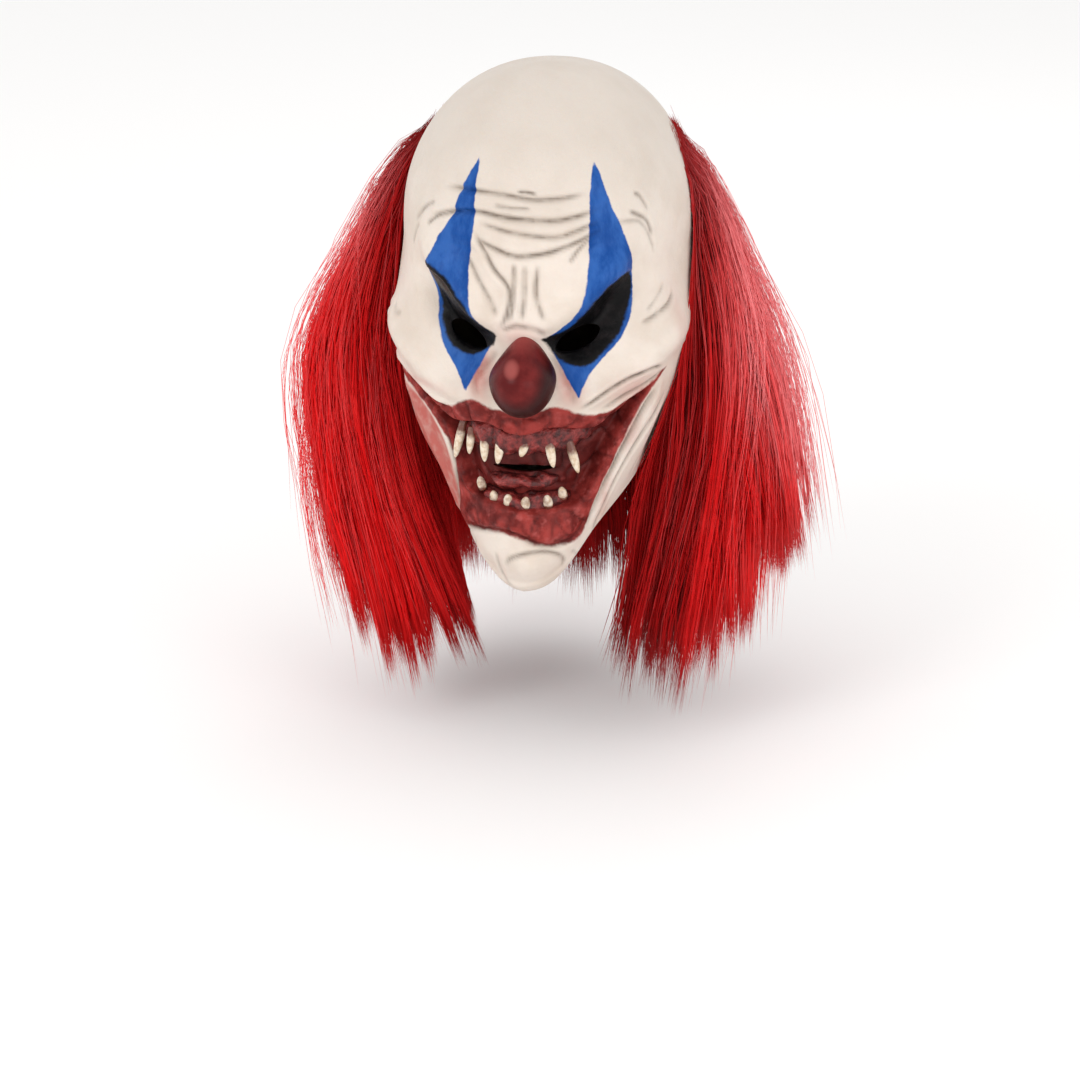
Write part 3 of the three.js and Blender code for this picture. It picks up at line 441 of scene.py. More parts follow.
def fine_relief(across, down):
    """Height of the sharp folds and lumps, and the brown wash, partly painted shade, that lies in them."""
    rise = np.zeros(across.shape)
    lips = ease((depth_inside(RED_GRIN, across, down) - 0.5) / 2.5)
    # Brown wash and painted shade in the creases between the lumps of the lips.
    wash_and_shade = 0.6 * lips * flesh_creases(across, down)
    rise -= 2.2 * wash_and_shade
    for path, height, above, below, brown in FOLDS:
        gap, share, side = nearest(rounded(path, 4), across, down)
        fade = ease(share / 0.16) * ease((1 - share) / 0.16)
        width = np.where(side > 0, above, below)
        depth = 1.35 * height if height < 0 else height
        rise += depth * fade * np.exp(-((gap / width) ** 2))
        if height < 0 and above < 1.9:
            rise -= 0.5 * depth * fade * np.exp(-(((gap - 2.2 * width) / (1.4 * width)) ** 2))
        wash_and_shade = np.maximum(wash_and_shade, brown * fade * np.exp(-((gap / (0.8 * above)) ** 2)))
    for x, y, wide, tall, height in LUMPS:
        rise += height * np.exp(-(((across - x) / wide) ** 2 + ((down - y) / tall) ** 2) ** 1.25)
    return np.clip(rise, -1.6, 4.5), wash_and_shade


def skin_places(columns, levels, hem_rows):
    """Angle, level and roll of every point of a grid on the skin, from the crown to the hem."""
    angle, level = np.meshgrid(columns, levels)
    jaw = table_curve(JAW_LINE, "angle", np.abs(angle), "level")
    follow = np.maximum(0.0, (level - STRETCH_LEVEL) / (LAST_LEVEL - STRETCH_LEVEL))
    level = level + follow * (jaw - LAST_LEVEL)
    rolled = np.zeros_like(level)
    hem = np.arange(1, hem_rows + 1)[:, None] / hem_rows
    angle = np.vstack([angle, np.repeat(angle[:1], hem_rows, axis=0)])
    level = np.vstack([level, np.repeat(jaw[:1], hem_rows, axis=0)])
    rolled = np.vstack([rolled, np.repeat(hem, len(columns), axis=1)])
    return angle, level, rolled


def mouth_drop(angle, across, down, grow):
    """How far the open mouth goes in behind the skin, in millimetres."""
    deep = table_curve(MOUTH_DEEP, "angle", np.abs(angle), "deep")
    return MOUTH_DEPTH * deep * ease((depth_inside(MOUTH_EDGE, across, down) + grow) / 4.5)


def skin_points(angle, level, rolled, radius):
    """Points at a radius, rolled in under the jaw."""
    roll = table_curve(JAW_LINE, "angle", np.abs(angle), "roll")
    radius = radius - HEM_TUCK * roll * (1 - np.cos(HEM_SWEEP * rolled))
    height = WALL - level * MASK_HEIGHT - HEM_DROP * roll * np.sin(HEM_SWEEP * rolled)
    turn = np.radians(angle)
    return np.stack([radius * np.sin(turn), -radius * np.cos(turn), height], axis=-1)


def moulded(name, points, cap=False):
    """A grid pulled onto rows of points. Points that meet are merged, and open ends may be capped."""
    rows, columns = points.shape[:2]
    bpy.ops.object.select_all(action="DESELECT")
    bpy.ops.mesh.primitive_grid_add(x_subdivisions=columns - 1, y_subdivisions=rows - 1, size=1.0)
    piece = bpy.context.object
    piece.name = piece.data.name = name
    piece.data.vertices.foreach_set("co", (points * MM).reshape(-1))
    bpy.ops.object.mode_set(mode="EDIT")
    bpy.ops.mesh.select_all(action="SELECT")
    bpy.ops.mesh.remove_doubles(threshold=2e-6)
    if cap:
        bpy.ops.mesh.select_mode(type="EDGE")
        bpy.ops.mesh.select_all(action="DESELECT")
        bpy.ops.mesh.select_non_manifold()
        bpy.ops.mesh.edge_face_add()
        bpy.ops.mesh.select_mode(type="VERT")
        bpy.ops.mesh.select_all(action="SELECT")
    bpy.ops.mesh.normals_make_consistent(inside=False)
    bpy.ops.object.mode_set(mode="OBJECT")
    faces = piece.data.polygons
    if sum(face.area * face.center.dot(face.normal) for face in faces) < 0:
        bpy.ops.object.mode_set(mode="EDIT")
        bpy.ops.mesh.flip_normals()
        bpy.ops.object.mode_set(mode="OBJECT")
    return piece


def unrolled(angle, level):
    """Angle from -180 to 180, and the place across and down, for a grid on the skin."""
    turned = np.where(angle > 180, angle - 360, angle)
    return turned, np.radians(turned) * UNROLL_RADIUS, level * MASK_HEIGHT


def cut_away(piece, cutter):
    """Cuts one closed piece out of another and removes the cutter."""
    bpy.ops.object.select_all(action="DESELECT")
    bpy.context.view_layer.objects.active = piece
    piece.select_set(True)
    modifier = piece.modifiers.new("cut", "BOOLEAN")
    modifier.operation = "DIFFERENCE"
    modifier.solver = "MANIFOLD"
    modifier.material_mode = "TRANSFER"
    modifier.object = cutter
    bpy.ops.object.modifier_apply(modifier=modifier.name)
    bpy.data.objects.remove(cutter, do_unlink=True)


# The outer face of the wall, finest over the face, where the sculpture is.
face_columns = np.arange(-78.0, 78.01, 0.75)
back_columns = np.linspace(78.0, 282.0, 62)[1:-1]
columns = np.concatenate([face_columns, back_columns, [282.0]])
crown_levels = 0.15 * (np.arange(16) / 16.0) ** 2
levels = np.concatenate([crown_levels, np.linspace(0.15, LAST_LEVEL, 196)])
angle, level, rolled = skin_places(columns, levels, 9)
turned, across, down = unrolled(angle, level)
fine, wash_and_shade = fine_relief(across, down)
quiet = ease(1 - rolled * 2)
radius = bare_radius(turned, level) + soft_relief(turned, level) + fine * quiet
radius -= mouth_drop(turned, across, down, 0.0)
latex_skin = moulded("latex_skin_cast", skin_points(turned, level, rolled, radius), cap=True)

# The hollow inside it, a plainer form one wall further in, which also goes in behind the mouth.
columns = np.concatenate([np.arange(-78.0, 78.01, 2.0), np.linspace(78.0, 282.0, 42)[1:-1], [282.0]])
levels = np.concatenate([0.15 * (np.arange(9) / 9.0) ** 2, np.linspace(0.15, LAST_LEVEL, 80)])
angle, level, rolled = skin_places(columns, levels, 5)
turned, across, down = unrolled(angle, level)
base = skin_points(turned, level, rolled, bare_radius(turned, level) + soft_relief(turned, level))
around = np.roll(base[:, :-1], -1, axis=1) - np.roll(base[:, :-1], 1, axis=1)
around = np.concatenate([around, around[:, :1]], axis=1)
upward = np.empty_like(base)
upward[1:-1] = base[:-2] - base[2:]
upward[0] = base[0] - base[1]
upward[-1] = base[-2] - base[-1]
outward = np.cross(around, upward)
outward[0] = (0.0, 0.0, 1.0)
outward /= np.linalg.norm(outward, axis=-1, keepdims=True) + 1e-12
inner = base - outward * (WALL + 0.4)
drop = mouth_drop(turned, across, down, 3.4)
turn = np.radians(turned)
inner += drop[..., None] * np.stack([-np.sin(turn), np.cos(turn), 0 * turn], axis=-1)
past = inner[-1:].copy()
past[..., 2] -= 8.0
inner_form = moulded("inner_form", np.concatenate([inner, past]), cap=True)
bare_latex, bare_tree, bare_shader = new_material("bare_latex", roughness=0.7)
inner_form.data.materials.append(bare_latex)
painted_latex, tree, shader = new_material("painted_latex", specular_ior_level=0.12)
latex_skin.data.materials.append(painted_latex)


def lens_cutter(name, place, wide, tall, slant, reach):
    """A lens-shaped cutter that looks along Y, for a hole with two pointed ends."""
    bpy.ops.object.select_all(action="DESELECT")
    bpy.ops.mesh.primitive_circle_add(vertices=56, radius=1.0, fill_type="NGON")
    cutter = bpy.context.object
    cutter.name = name
    turn = np.linspace(0.0, 2 * math.pi, 56, endpoint=False)
    x = np.cos(turn) * wide / 2
    z = np.sign(np.sin(turn)) * np.abs(np.sin(turn)) ** 1.25 * tall / 2
    c, s = math.cos(slant), math.sin(slant)
    y = np.full(56, place[1] - reach / 2)
    points = np.stack([place[0] + x * c - z * s, y, place[2] + x * s + z * c], axis=-1)
    cutter.data.vertices.foreach_set("co", (points * MM).reshape(-1))
    bpy.ops.object.mode_set(mode="EDIT")
    bpy.ops.mesh.select_all(action="SELECT")
    bpy.ops.mesh.extrude_region_move(TRANSFORM_OT_translate={"value": (0.0, reach * MM, 0.0)})
    bpy.ops.mesh.select_all(action="SELECT")
    bpy.ops.mesh.normals_make_consistent(inside=False)
    bpy.ops.object.mode_set(mode="OBJECT")
    return cutter


def skin_place(angle, level):
    """One point on the skin, without its fine folds."""
    angle, level = np.array([float(angle)]), np.array([float(level)])
    return skin_points(angle, level, np.zeros(1), bare_radius(angle, level) + soft_relief(angle, level))[0]


EYE_ANGLE = 18.8
EYE_LEVEL = 0.474
EYE_SLANT = math.radians(24.0)
EYE_WIDTH = 23.0
EYE_HEIGHT = 11.5
SLIT_LEVEL = 0.735
SLIT_WIDTH = 34.0
SLIT_HEIGHT = 4.0
cut_away(latex_skin, inner_form)
for side in (-1, 1):
    place = skin_place(side * EYE_ANGLE, EYE_LEVEL)
    cut_away(latex_skin, lens_cutter("eye_cutter", place, EYE_WIDTH, EYE_HEIGHT, side * EYE_SLANT, 60.0))
mouth_back = bare_radius(np.zeros(1), np.full(1, SLIT_LEVEL))[0] - MOUTH_DEPTH
slit_place = (0.0, -mouth_back, WALL - SLIT_LEVEL * MASK_HEIGHT)
cut_away(latex_skin, lens_cutter("slit_cutter", slit_place, SLIT_WIDTH, SLIT_HEIGHT, 0.0, 30.0))
bpy.ops.object.select_all(action="DESELECT")
bpy.context.view_layer.objects.active = latex_skin
latex_skin.select_set(True)
bpy.ops.object.shade_smooth_by_angle(angle=math.radians(55.0))

# Make-up outlines. Blue spikes run from the forehead through the eyes to a point on the cheek,
# black fills the sockets, and dark red fills the grin.
BLUE_RIGHT_SIDE = np.vstack([
    rounded([
        (-25.7, 34.8), (-24.6, 45), (-24.1, 55), (-23.3, 69), (-24.5, 84), (-23.7, 101), (-20.1, 114),
        (-12.8, 124),
    ]),
    rounded([(-12.4, 128), (-17, 138), (-21.5, 148), (-25.7, 157)]),
    rounded([
        (-25.7, 157), (-32, 147), (-41, 136), (-48, 123), (-51, 108), (-50, 96), (-45.9, 87.5), (-43.8, 77),
    ]),
    rounded([(-43.8, 77), (-37.3, 69), (-34.8, 60), (-32, 51), (-28, 41.5), (-25.7, 34.8)]),
])
BLUE_LEFT_SIDE = np.vstack([
    rounded([
        (39.3, 37.2), (36.6, 46), (34.9, 55), (33.3, 75), (32.5, 90), (29.7, 105), (24.5, 115.5),
        (13, 126.5),
    ]),
    rounded([(14, 130), (18.1, 139), (22.5, 148), (27.7, 158)]),
    rounded([
        (27.7, 158), (33, 147.5), (41, 138.5), (50, 129.5), (56.5, 119), (58.4, 108), (57.4, 97), (55, 85),
        (51.4, 72),
    ]),
    rounded([(51.4, 72), (46.8, 61), (43, 48), (39.3, 37.2)]),
])
BLACK_RIGHT_SIDE = np.vstack([
    rounded([(-48.5, 91), (-42, 91.5), (-35, 97), (-27, 107), (-18.5, 117.5), (-9.5, 125.5)]),
    rounded([
        (-10, 125.5), (-14, 132.5), (-24.9, 139), (-36, 136), (-44, 127), (-48.5, 114), (-49.5, 102),
        (-48.5, 91),
    ]),
])
BLACK_LEFT_SIDE = np.vstack([
    rounded([(10.5, 126.5), (22, 122), (32, 111.5), (41, 101), (48, 96), (55.5, 94)]),
    rounded([
        (55.5, 94), (57.5, 102), (56, 114), (49, 127), (40, 137), (30.5, 142), (19, 138), (10.5, 126.5),
    ]),
])
PINK_STRIP = np.vstack([
    rounded([(-98, 160), (-76, 167), (-55, 180), (-44, 196), (-42, 214), (-45, 240)]),
    rounded([(-58, 240), (-63, 222), (-72, 204), (-84, 186), (-98, 168)]),
])


def places_of(piece):
    """Every corner of a mesh, in millimetres."""
    places = np.empty(len(piece.data.vertices) * 3)
    piece.data.vertices.foreach_get("co", places)
    return (places / MM).reshape(-1, 3)


def keep_values(piece, name, values):
    """Values kept on the corners of a mesh, for its material to read."""
    kept = piece.data.attributes.new(name, "FLOAT", "POINT")
    kept.data.foreach_set("value", values.astype(np.float32))


x, y, z = places_of(latex_skin).T
across = np.radians(np.degrees(np.arctan2(x, -y))) * UNROLL_RADIUS
down = WALL - z
wash_and_shade = fine_relief(across, down)[1]
for name, outlines in (
    ("blue_edge", (BLUE_RIGHT_SIDE, BLUE_LEFT_SIDE)),
    ("black_edge", (BLACK_RIGHT_SIDE, BLACK_LEFT_SIDE)),
    ("red_edge", (RED_GRIN,)),
    ("mouth_edge", (MOUTH_EDGE,)),
):
    inside = np.max([depth_inside(outline, across, down) for outline in outlines], axis=0)
    keep_values(latex_skin, name, np.clip(inside, -8, 8))

pink = ease((depth_inside(PINK_STRIP, across, down) + 1.0) / 3.0)
# Soft pink patches beside the nose, on the cheeks and along the jaw: across, down, half width, half height and
# strength.
PINK_PATCHES = [
    (-19, 146, 6, 13, 0.95),
    (24, 148, 6, 13, 0.8),
    (0, 124, 9, 6, 0.35),
    (60, 178, 6, 14, 0.45),
    (-60, 158, 22, 3, 0.35),
    (86, 190, 12, 30, 0.3),
    (-100, 150, 14, 10, 0.4),
    (92, 130, 8, 22, 0.2),
    (48, 222, 4, 14, 0.4),
    (58, 158, 15, 9, 0.4),
    (-62, 190, 9, 24, 0.35),
]
for place_x, place_y, wide, tall, strength in PINK_PATCHES:
    spread = ((across - place_x) / wide) ** 2 + ((down - place_y) / tall) ** 2
    pink = np.maximum(pink, strength * np.exp(-spread))
keep_values(latex_skin, "pink", pink)
keep_values(latex_skin, "wash_and_shade", wash_and_shade)


def attribute(tree, name):
    """The value of one of the piece's own attributes."""
    return add_node(tree, "ShaderNodeAttribute", {"attribute_name": name}).outputs["Fac"]


def calc(tree, operation, first, second=0.0, third=None):
    """A Math node on values or sockets."""
    made = tree.nodes.new("ShaderNodeMath")
    made.operation = operation
    for socket, value in zip(made.inputs, (first, second, third)):
        if isinstance(value, bpy.types.NodeSocket):
            tree.links.new(value, socket)
        elif value is not None:
            socket.default_value = value
    return made.outputs[0]


def span(tree, value, low, high, to_low=0.0, to_high=1.0):
    """A value moved smoothly from one span to another."""
    made = add_node(tree, "ShaderNodeMapRange", {"interpolation_type": "SMOOTHSTEP"}, value=value)
    made.inputs["From Min"].default_value = low
    made.inputs["From Max"].default_value = high
    made.inputs["To Min"].default_value = to_low
    made.inputs["To Max"].default_value = to_high
    return made.outputs["Result"]


def blend_colours(tree, amount, first, second, mode="MIX"):
    """Two colours or colour sockets mixed by an amount."""
    made = tree.nodes.new("ShaderNodeMix")
    made.data_type = "RGBA"
    made.blend_type = mode
    slots = [s for s in made.inputs if s.enabled]
    for socket, value in zip(slots, (amount, first, second)):
        if isinstance(value, bpy.types.NodeSocket):
            tree.links.new(value, socket)
        else:
            socket.default_value = value
    return next(s for s in made.outputs if s.enabled)


def noise(tree, scale, detail=3.0, roughness=0.5, stretch=None):
    """A noise on the piece's own coordinates, in patches per metre."""
    place = add_node(tree, "ShaderNodeTexCoord").outputs["Object"]
    if stretch:
        place = add_node(tree, "ShaderNodeMapping", vector=place, scale=stretch).outputs["Vector"]
    made = add_node(tree, "ShaderNodeTexNoise", vector=place, scale=scale, detail=detail, roughness=roughness)
    return made.outputs["Fac"]


def roughen(tree, shader, height, strength, distance):
    """Fine unevenness of the surface from a height pattern."""
    bump = add_node(tree, "ShaderNodeBump", height=height, strength=strength, distance=distance)
    tree.links.new(bump.outputs["Normal"], shader.inputs["Normal"])


# The paint, from the ground up: off-white with painted shade towards the crown, pink patches, brown wash that
# is partly painted shade in the creases, then blue, black and red, with painted shade in the mouth and painted
# highlights on the lips.
rough_edge = span(tree, noise(tree, 520.0, 3.0), 0.3, 0.7, -0.2, 0.2)
wide_edge = span(tree, noise(tree, 110.0, 2.0), 0.3, 0.7, -0.5, 0.5)
ragged = calc(tree, "ADD", rough_edge, wide_edge)
clouds = span(tree, noise(tree, 34.0, 4.0), 0.35, 0.7)
specks = span(tree, noise(tree, 240.0, 4.0), 0.62, 0.8, 0.0, 0.25)
colour = blend_colours(tree, clouds, rgb(221, 209, 198), rgb(210, 196, 183))
colour = blend_colours(tree, specks, colour, rgb(194, 180, 164))
height = add_node(tree, "ShaderNodeSeparateXYZ", vector=add_node(tree, "ShaderNodeTexCoord").outputs["Object"])
# Painted shade: the skin is darker towards the top of the head.
top_painted_shading = span(tree, height.outputs["Z"], -0.10, -0.02, 0.0, 0.7)
colour = blend_colours(tree, top_painted_shading, colour, rgb(200, 190, 180))
rosy = calc(tree, "MULTIPLY", attribute(tree, "pink"), span(tree, noise(tree, 150.0, 3.0), 0.25, 0.6, 0.7, 1.0))
colour = blend_colours(tree, rosy, colour, rgb(180, 98, 90))
# Brown wash in the creases, partly painted shade there.
uneven = span(tree, noise(tree, 120.0, 3.0), 0.3, 0.6, 0.55, 1.0)
brown = calc(tree, "MULTIPLY", attribute(tree, "wash_and_shade"), uneven)
colour = blend_colours(tree, brown, colour, rgb(98, 84, 72))
brush_marks = span(tree, noise(tree, 95.0, 4.0, 0.6, (1.0, 1.0, 0.35)), 0.35, 0.65)
blue_paint = blend_colours(tree, brush_marks, rgb(12, 66, 138), rgb(44, 92, 164))
# The blue is darkened in the creases by the same wash and painted shade.
blue_paint = blend_colours(tree, calc(tree, "MULTIPLY", brown, 0.75), blue_paint, rgb(14, 34, 76))
blue_edge = calc(tree, "ADD", attribute(tree, "blue_edge"), calc(tree, "MULTIPLY", ragged, 0.55))
blue_amount = span(tree, blue_edge, -0.45, 0.45)
colour = blend_colours(tree, blue_amount, colour, blue_paint)
worn = span(tree, noise(tree, 160.0, 4.0), 0.45, 0.75)
black_paint = blend_colours(tree, worn, rgb(9, 8, 9), rgb(28, 23, 24))
black_amount = span(tree, calc(tree, "ADD", attribute(tree, "black_edge"), ragged), -0.9, 0.8)
colour = blend_colours(tree, black_amount, colour, black_paint)
flesh_patches = span(tree, noise(tree, 85.0, 5.0, 0.6), 0.36, 0.66)
flesh_paint = blend_colours(tree, flesh_patches, rgb(104, 30, 27), rgb(154, 57, 52))
# Painted highlights: paler pink patches on the red flesh.
highlight_patches = span(tree, noise(tree, 190.0, 3.0), 0.52, 0.72, 0.0, 0.55)
flesh_paint = blend_colours(tree, highlight_patches, flesh_paint, rgb(178, 86, 82))
# Painted shade: the floor of the open mouth darkens inside its edge, less so at its lowest part.
deep = span(tree, attribute(tree, "mouth_edge"), 0.5, 6.0, 0.0, 0.72)
deep = calc(tree, "MULTIPLY", deep, span(tree, height.outputs["Z"], -0.208, -0.196, 0.4, 1.0))
flesh_paint = blend_colours(tree, deep, flesh_paint, rgb(48, 10, 10))
# The red paint is darkened in its creases by the same wash and painted shade.
flesh_paint = blend_colours(tree, calc(tree, "MULTIPLY", brown, 0.9), flesh_paint, rgb(38, 11, 11))
red_amount = span(tree, calc(tree, "ADD", attribute(tree, "red_edge"), ragged), -1.0, 0.9)
colour = blend_colours(tree, red_amount, colour, flesh_paint)
tree.links.new(colour, shader.inputs["Base Color"])
painted = calc(tree, "MAXIMUM", calc(tree, "MAXIMUM", blue_amount, black_amount), red_amount)
uneven = span(tree, noise(tree, 60.0, 3.0), 0.3, 0.7, -0.05, 0.05)
gloss = calc(tree, "ADD", span(tree, painted, 0.0, 1.0, 0.5, 0.38), uneven)
tree.links.new(gloss, shader.inputs["Roughness"])
pores = calc(tree, "ADD", noise(tree, 900.0, 3.0), calc(tree, "MULTIPLY", noise(tree, 190.0, 3.0), 2.0))
roughen(tree, shader, pores, 0.28, 0.0006)
shader.inputs["Subsurface Weight"].default_value = 0.08
shader.inputs["Subsurface Radius"].default_value = (0.004, 0.002, 0.0012)
# The bare brown latex of the inside, darker than raw latex as painted shade for the hollow seen through the eye
# holes.
tree, shader = bare_tree, bare_shader
colour = blend_colours(tree, span(tree, noise(tree, 45.0, 4.0), 0.35, 0.65), rgb(112, 94, 76), rgb(92, 76, 62))
tree.links.new(colour, shader.inputs["Base Color"])
roughen(tree, shader, noise(tree, 300.0, 3.0), 0.2, 0.0006)
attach(latex_skin, "root")
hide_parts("latex_skin")


# The nose: a hollow latex bulb cast with the face, narrow where it leaves the bridge and full
# below, painted a dark glossy red, with painted shade round its edges and underside, painted light
# on its top and a painted highlight.
NOSE_WIDTH = 34.5
NOSE_HEIGHT = 42.0
NOSE_DEPTH = 46.0
NOSE_LEVEL = 0.53
NOSE_STAND_OFF = 10.0
NOSE_ASIDE = 3.5

rows, around = 56, 72
down_turn = np.linspace(0, math.pi, rows)[:, None] + np.zeros(around + 1)
round_turn = np.linspace(0, 2 * math.pi, around + 1)[None] + np.zeros((rows, 1))
height = np.cos(down_turn)
ring = np.sin(down_turn)
narrow = 1 - 0.42 * ease((height + 0.1) / 1.1)
x = ring * narrow * np.sin(round_turn) * NOSE_WIDTH / 2
y = -ring * (1 - 0.22 * ease(height)) * np.cos(round_turn) * NOSE_DEPTH / 2
z = height * NOSE_HEIGHT / 2
stand = bare_radius(np.zeros(1), np.full(1, NOSE_LEVEL))[0] + NOSE_STAND_OFF
middle = (NOSE_ASIDE, -stand, WALL - NOSE_LEVEL * MASK_HEIGHT)
y = y + 5.0 * ease((height - 0.1) / 0.9)
points = np.stack([x + middle[0], y + middle[1], z + middle[2]], axis=-1)
turned = np.degrees(np.arctan2(points[..., 0], -points[..., 1]))
level = (WALL - points[..., 2]) / MASK_HEIGHT
reach = np.hypot(points[..., 0], points[..., 1])
seat = bare_radius(turned, level) + soft_relief(turned, level) - 0.6
lift = np.maximum(seat - reach, 0.0) / reach
points[..., 0] *= 1 + lift
points[..., 1] *= 1 + lift
nose = moulded("nose_bulb", points)
bpy.ops.object.shade_smooth_by_angle(angle=math.radians(60.0))
nose_paint, tree, shader = new_material(
    "nose_paint", specular_ior_level=0.12, coat_weight=0.05, coat_roughness=0.2
)
mottle = span(tree, noise(tree, 70.0, 4.0, 0.55), 0.35, 0.68)
colour = blend_colours(tree, mottle, rgb(84, 15, 16), rgb(112, 32, 31))
place = add_node(tree, "ShaderNodeSeparateXYZ", vector=add_node(tree, "ShaderNodeTexCoord").outputs["Object"])


def distance_from(tree, place, x, z, wide, tall):
    """Squared distance of a place from a point of the front, in shares of an oval."""
    over = calc(tree, "DIVIDE", calc(tree, "SUBTRACT", place.outputs["X"], x), wide)
    up = calc(tree, "DIVIDE", calc(tree, "SUBTRACT", place.outputs["Z"], z), tall)
    return calc(tree, "ADD", calc(tree, "MULTIPLY", over, over), calc(tree, "MULTIPLY", up, up))


# Painted shade: the nose darkens towards its edges and underside.
rim_painted_shade = span(tree, distance_from(tree, place, 0.002, -0.137, 0.0175, 0.022), 0.2, 0.95, 0.0, 0.92)
colour = blend_colours(tree, rim_painted_shade, colour, rgb(34, 5, 5))
# Painted light: the top of the nose is paler.
top_painted_shading = span(tree, place.outputs["Z"], -0.130, -0.120, 0.0, 0.55)
colour = blend_colours(tree, top_painted_shading, colour, rgb(164, 72, 68))
# A painted highlight: a small pale spot on the front of the nose.
light = span(tree, distance_from(tree, place, 0.0005, -0.1345, 0.005, 0.005), 0.0, 1.0, 0.5, 0.0)
colour = blend_colours(tree, light, colour, rgb(186, 98, 92))
tree.links.new(colour, shader.inputs["Base Color"])
tree.links.new(span(tree, mottle, 0.0, 1.0, 0.36, 0.46), shader.inputs["Roughness"])
roughen(tree, shader, noise(tree, 420.0, 4.0), 0.2, 0.0006)
nose.data.materials.append(nose_paint)
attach(nose, "root")
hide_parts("nose")


# The flesh inside the grin: lumpy gums and a tongue of latex, cast on the floor of the mouth and
# painted in dark reds with a glossy finish, with painted shade in the hollows of the lumps and where
# they meet the floor, and painted highlights on the lumps.
mouth_flesh, tree, shader = new_material(
    "mouth_flesh", specular_ior_level=0.35, coat_weight=0.15, coat_roughness=0.2
)
lumps = noise(tree, 210.0, 4.0, 0.6)
# The colour follows the lumps of the bump: darker in their hollows as painted shade, and a pink painted
# highlight on their tops.
colour = blend_colours(tree, span(tree, lumps, 0.36, 0.64), rgb(66, 14, 14), rgb(138, 46, 43))
colour = blend_colours(tree, span(tree, lumps, 0.58, 0.74, 0.0, 0.5), colour, rgb(188, 98, 92))
# Painted shade where the flesh comes down to the floor of the mouth, as under the lip.
shade = attribute(tree, "shade")
colour = blend_colours(tree, shade, colour, rgb(26, 7, 8))
tree.links.new(colour, shader.inputs["Base Color"])
tree.links.new(span(tree, noise(tree, 90.0), 0.3, 0.7, 0.28, 0.44), shader.inputs["Roughness"])
roughen(tree, shader, lumps, 0.9, 0.003)

# Teeth: angle and level where each leaves the gum, length and width as shares of the mask's
# height, and the degrees that its tip leans to the mask's left.
UPPER_TEETH = [
    (-22.0, 0.669, 0.086, 0.0165, -13),
    (-17.6, 0.672, 0.058, 0.015, -4),
    (-12.2, 0.678, 0.062, 0.0165, 2),
    (-6.4, 0.675, 0.066, 0.0175, -7),
    (1.3, 0.681, 0.032, 0.015, -20),
    (8.9, 0.679, 0.066, 0.017, 10),
    (16.0, 0.692, 0.072, 0.0165, 16),
]
LOWER_TEETH = [
    (-14.5, 0.778, 0.03, 0.0165, -8),
    (-9.5, 0.798, 0.027, 0.016, 0),
    (-4.2, 0.802, 0.03, 0.018, 0),
    (1.2, 0.805, 0.031, 0.018, 8),
    (8.5, 0.803, 0.03, 0.018, -8),
    (13.5, 0.789, 0.029, 0.0165, -12),
]
TOOTH_ROOT_SHARE = 0.3
TOOTH_STAND = 0.92
GUM_BULGE = 8.0


def mouth_floor(angle, level):
    """Distance from the head's axis to the floor of the mouth."""
    return bare_radius(angle, level) - MOUTH_DEPTH * table_curve(MOUTH_DEEP, "angle", np.abs(angle), "deep")


def flesh_bar(name, node, level, reach, tall, bulge, sag, swellings, seed):
    """A lumpy bar on the floor of the mouth, half an oval in section and swollen round the teeth."""
    steps, corners = 110, 26
    share = np.linspace(-1.0, 1.0, steps)[:, None]
    phase = np.linspace(-math.pi, math.pi, corners + 1)[None, :]
    angle = reach * share + 0 * phase
    taper = np.sqrt(np.maximum(0.0, 1 - share**4)) + 0 * phase
    middle = level + sag * (1 - share**2)
    lump = np.zeros_like(angle)
    for where, size in swellings:
        lump += size * np.exp(-(((angle - where) / 2.3) ** 2))
    dice = np.random.default_rng(seed)
    for _ in range(14):
        wave = angle * dice.uniform(0.2, 1.1) + phase * dice.integers(1, 4)
        lump += 0.22 * np.sin(wave + dice.uniform(0, 6.3))
    here = middle - (tall + 0.004 * lump) * taper * np.sin(phase)
    front = np.maximum(np.cos(phase), -0.15)
    radius = mouth_floor(angle, here) + GUM_BULGE * bulge * taper * front * (1 + 0.22 * lump)
    turn = np.radians(angle)
    points = np.stack([radius * np.sin(turn), -radius * np.cos(turn), WALL - here * MASK_HEIGHT], axis=-1)
    piece = moulded(name, points)
    bpy.ops.object.shade_smooth()
    px, py, pz = places_of(piece).T
    reached = np.hypot(px, py) - mouth_floor(np.degrees(np.arctan2(px, -py)), (WALL - pz) / MASK_HEIGHT)
    # Painted shade: darker where the bar comes close to the floor of the mouth.
    dark = 0.75 * (1 - ease(reached / (GUM_BULGE * bulge * 0.85)))
    keep_values(piece, "shade", dark)
    piece.data.materials.append(mouth_flesh)
    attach(piece, "root")
    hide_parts(node)
    return piece


upper_swellings = [(row[0], 0.9) for row in UPPER_TEETH]
lower_swellings = [(row[0], 0.9) for row in LOWER_TEETH]
flesh_bar("upper_gum_flesh", "upper_gum", 0.664, 24.5, 0.033, 1.0, 0.005, upper_swellings, 3)
flesh_bar("tongue_flesh", "tongue", 0.756, 12.5, 0.013, 0.8, 0.004, [(-6, 0.5), (2, 0.3), (7, 0.6)], 5)
flesh_bar("lower_gum_flesh", "lower_gum", 0.797, 17.5, 0.02, 0.95, 0.008, lower_swellings, 8)


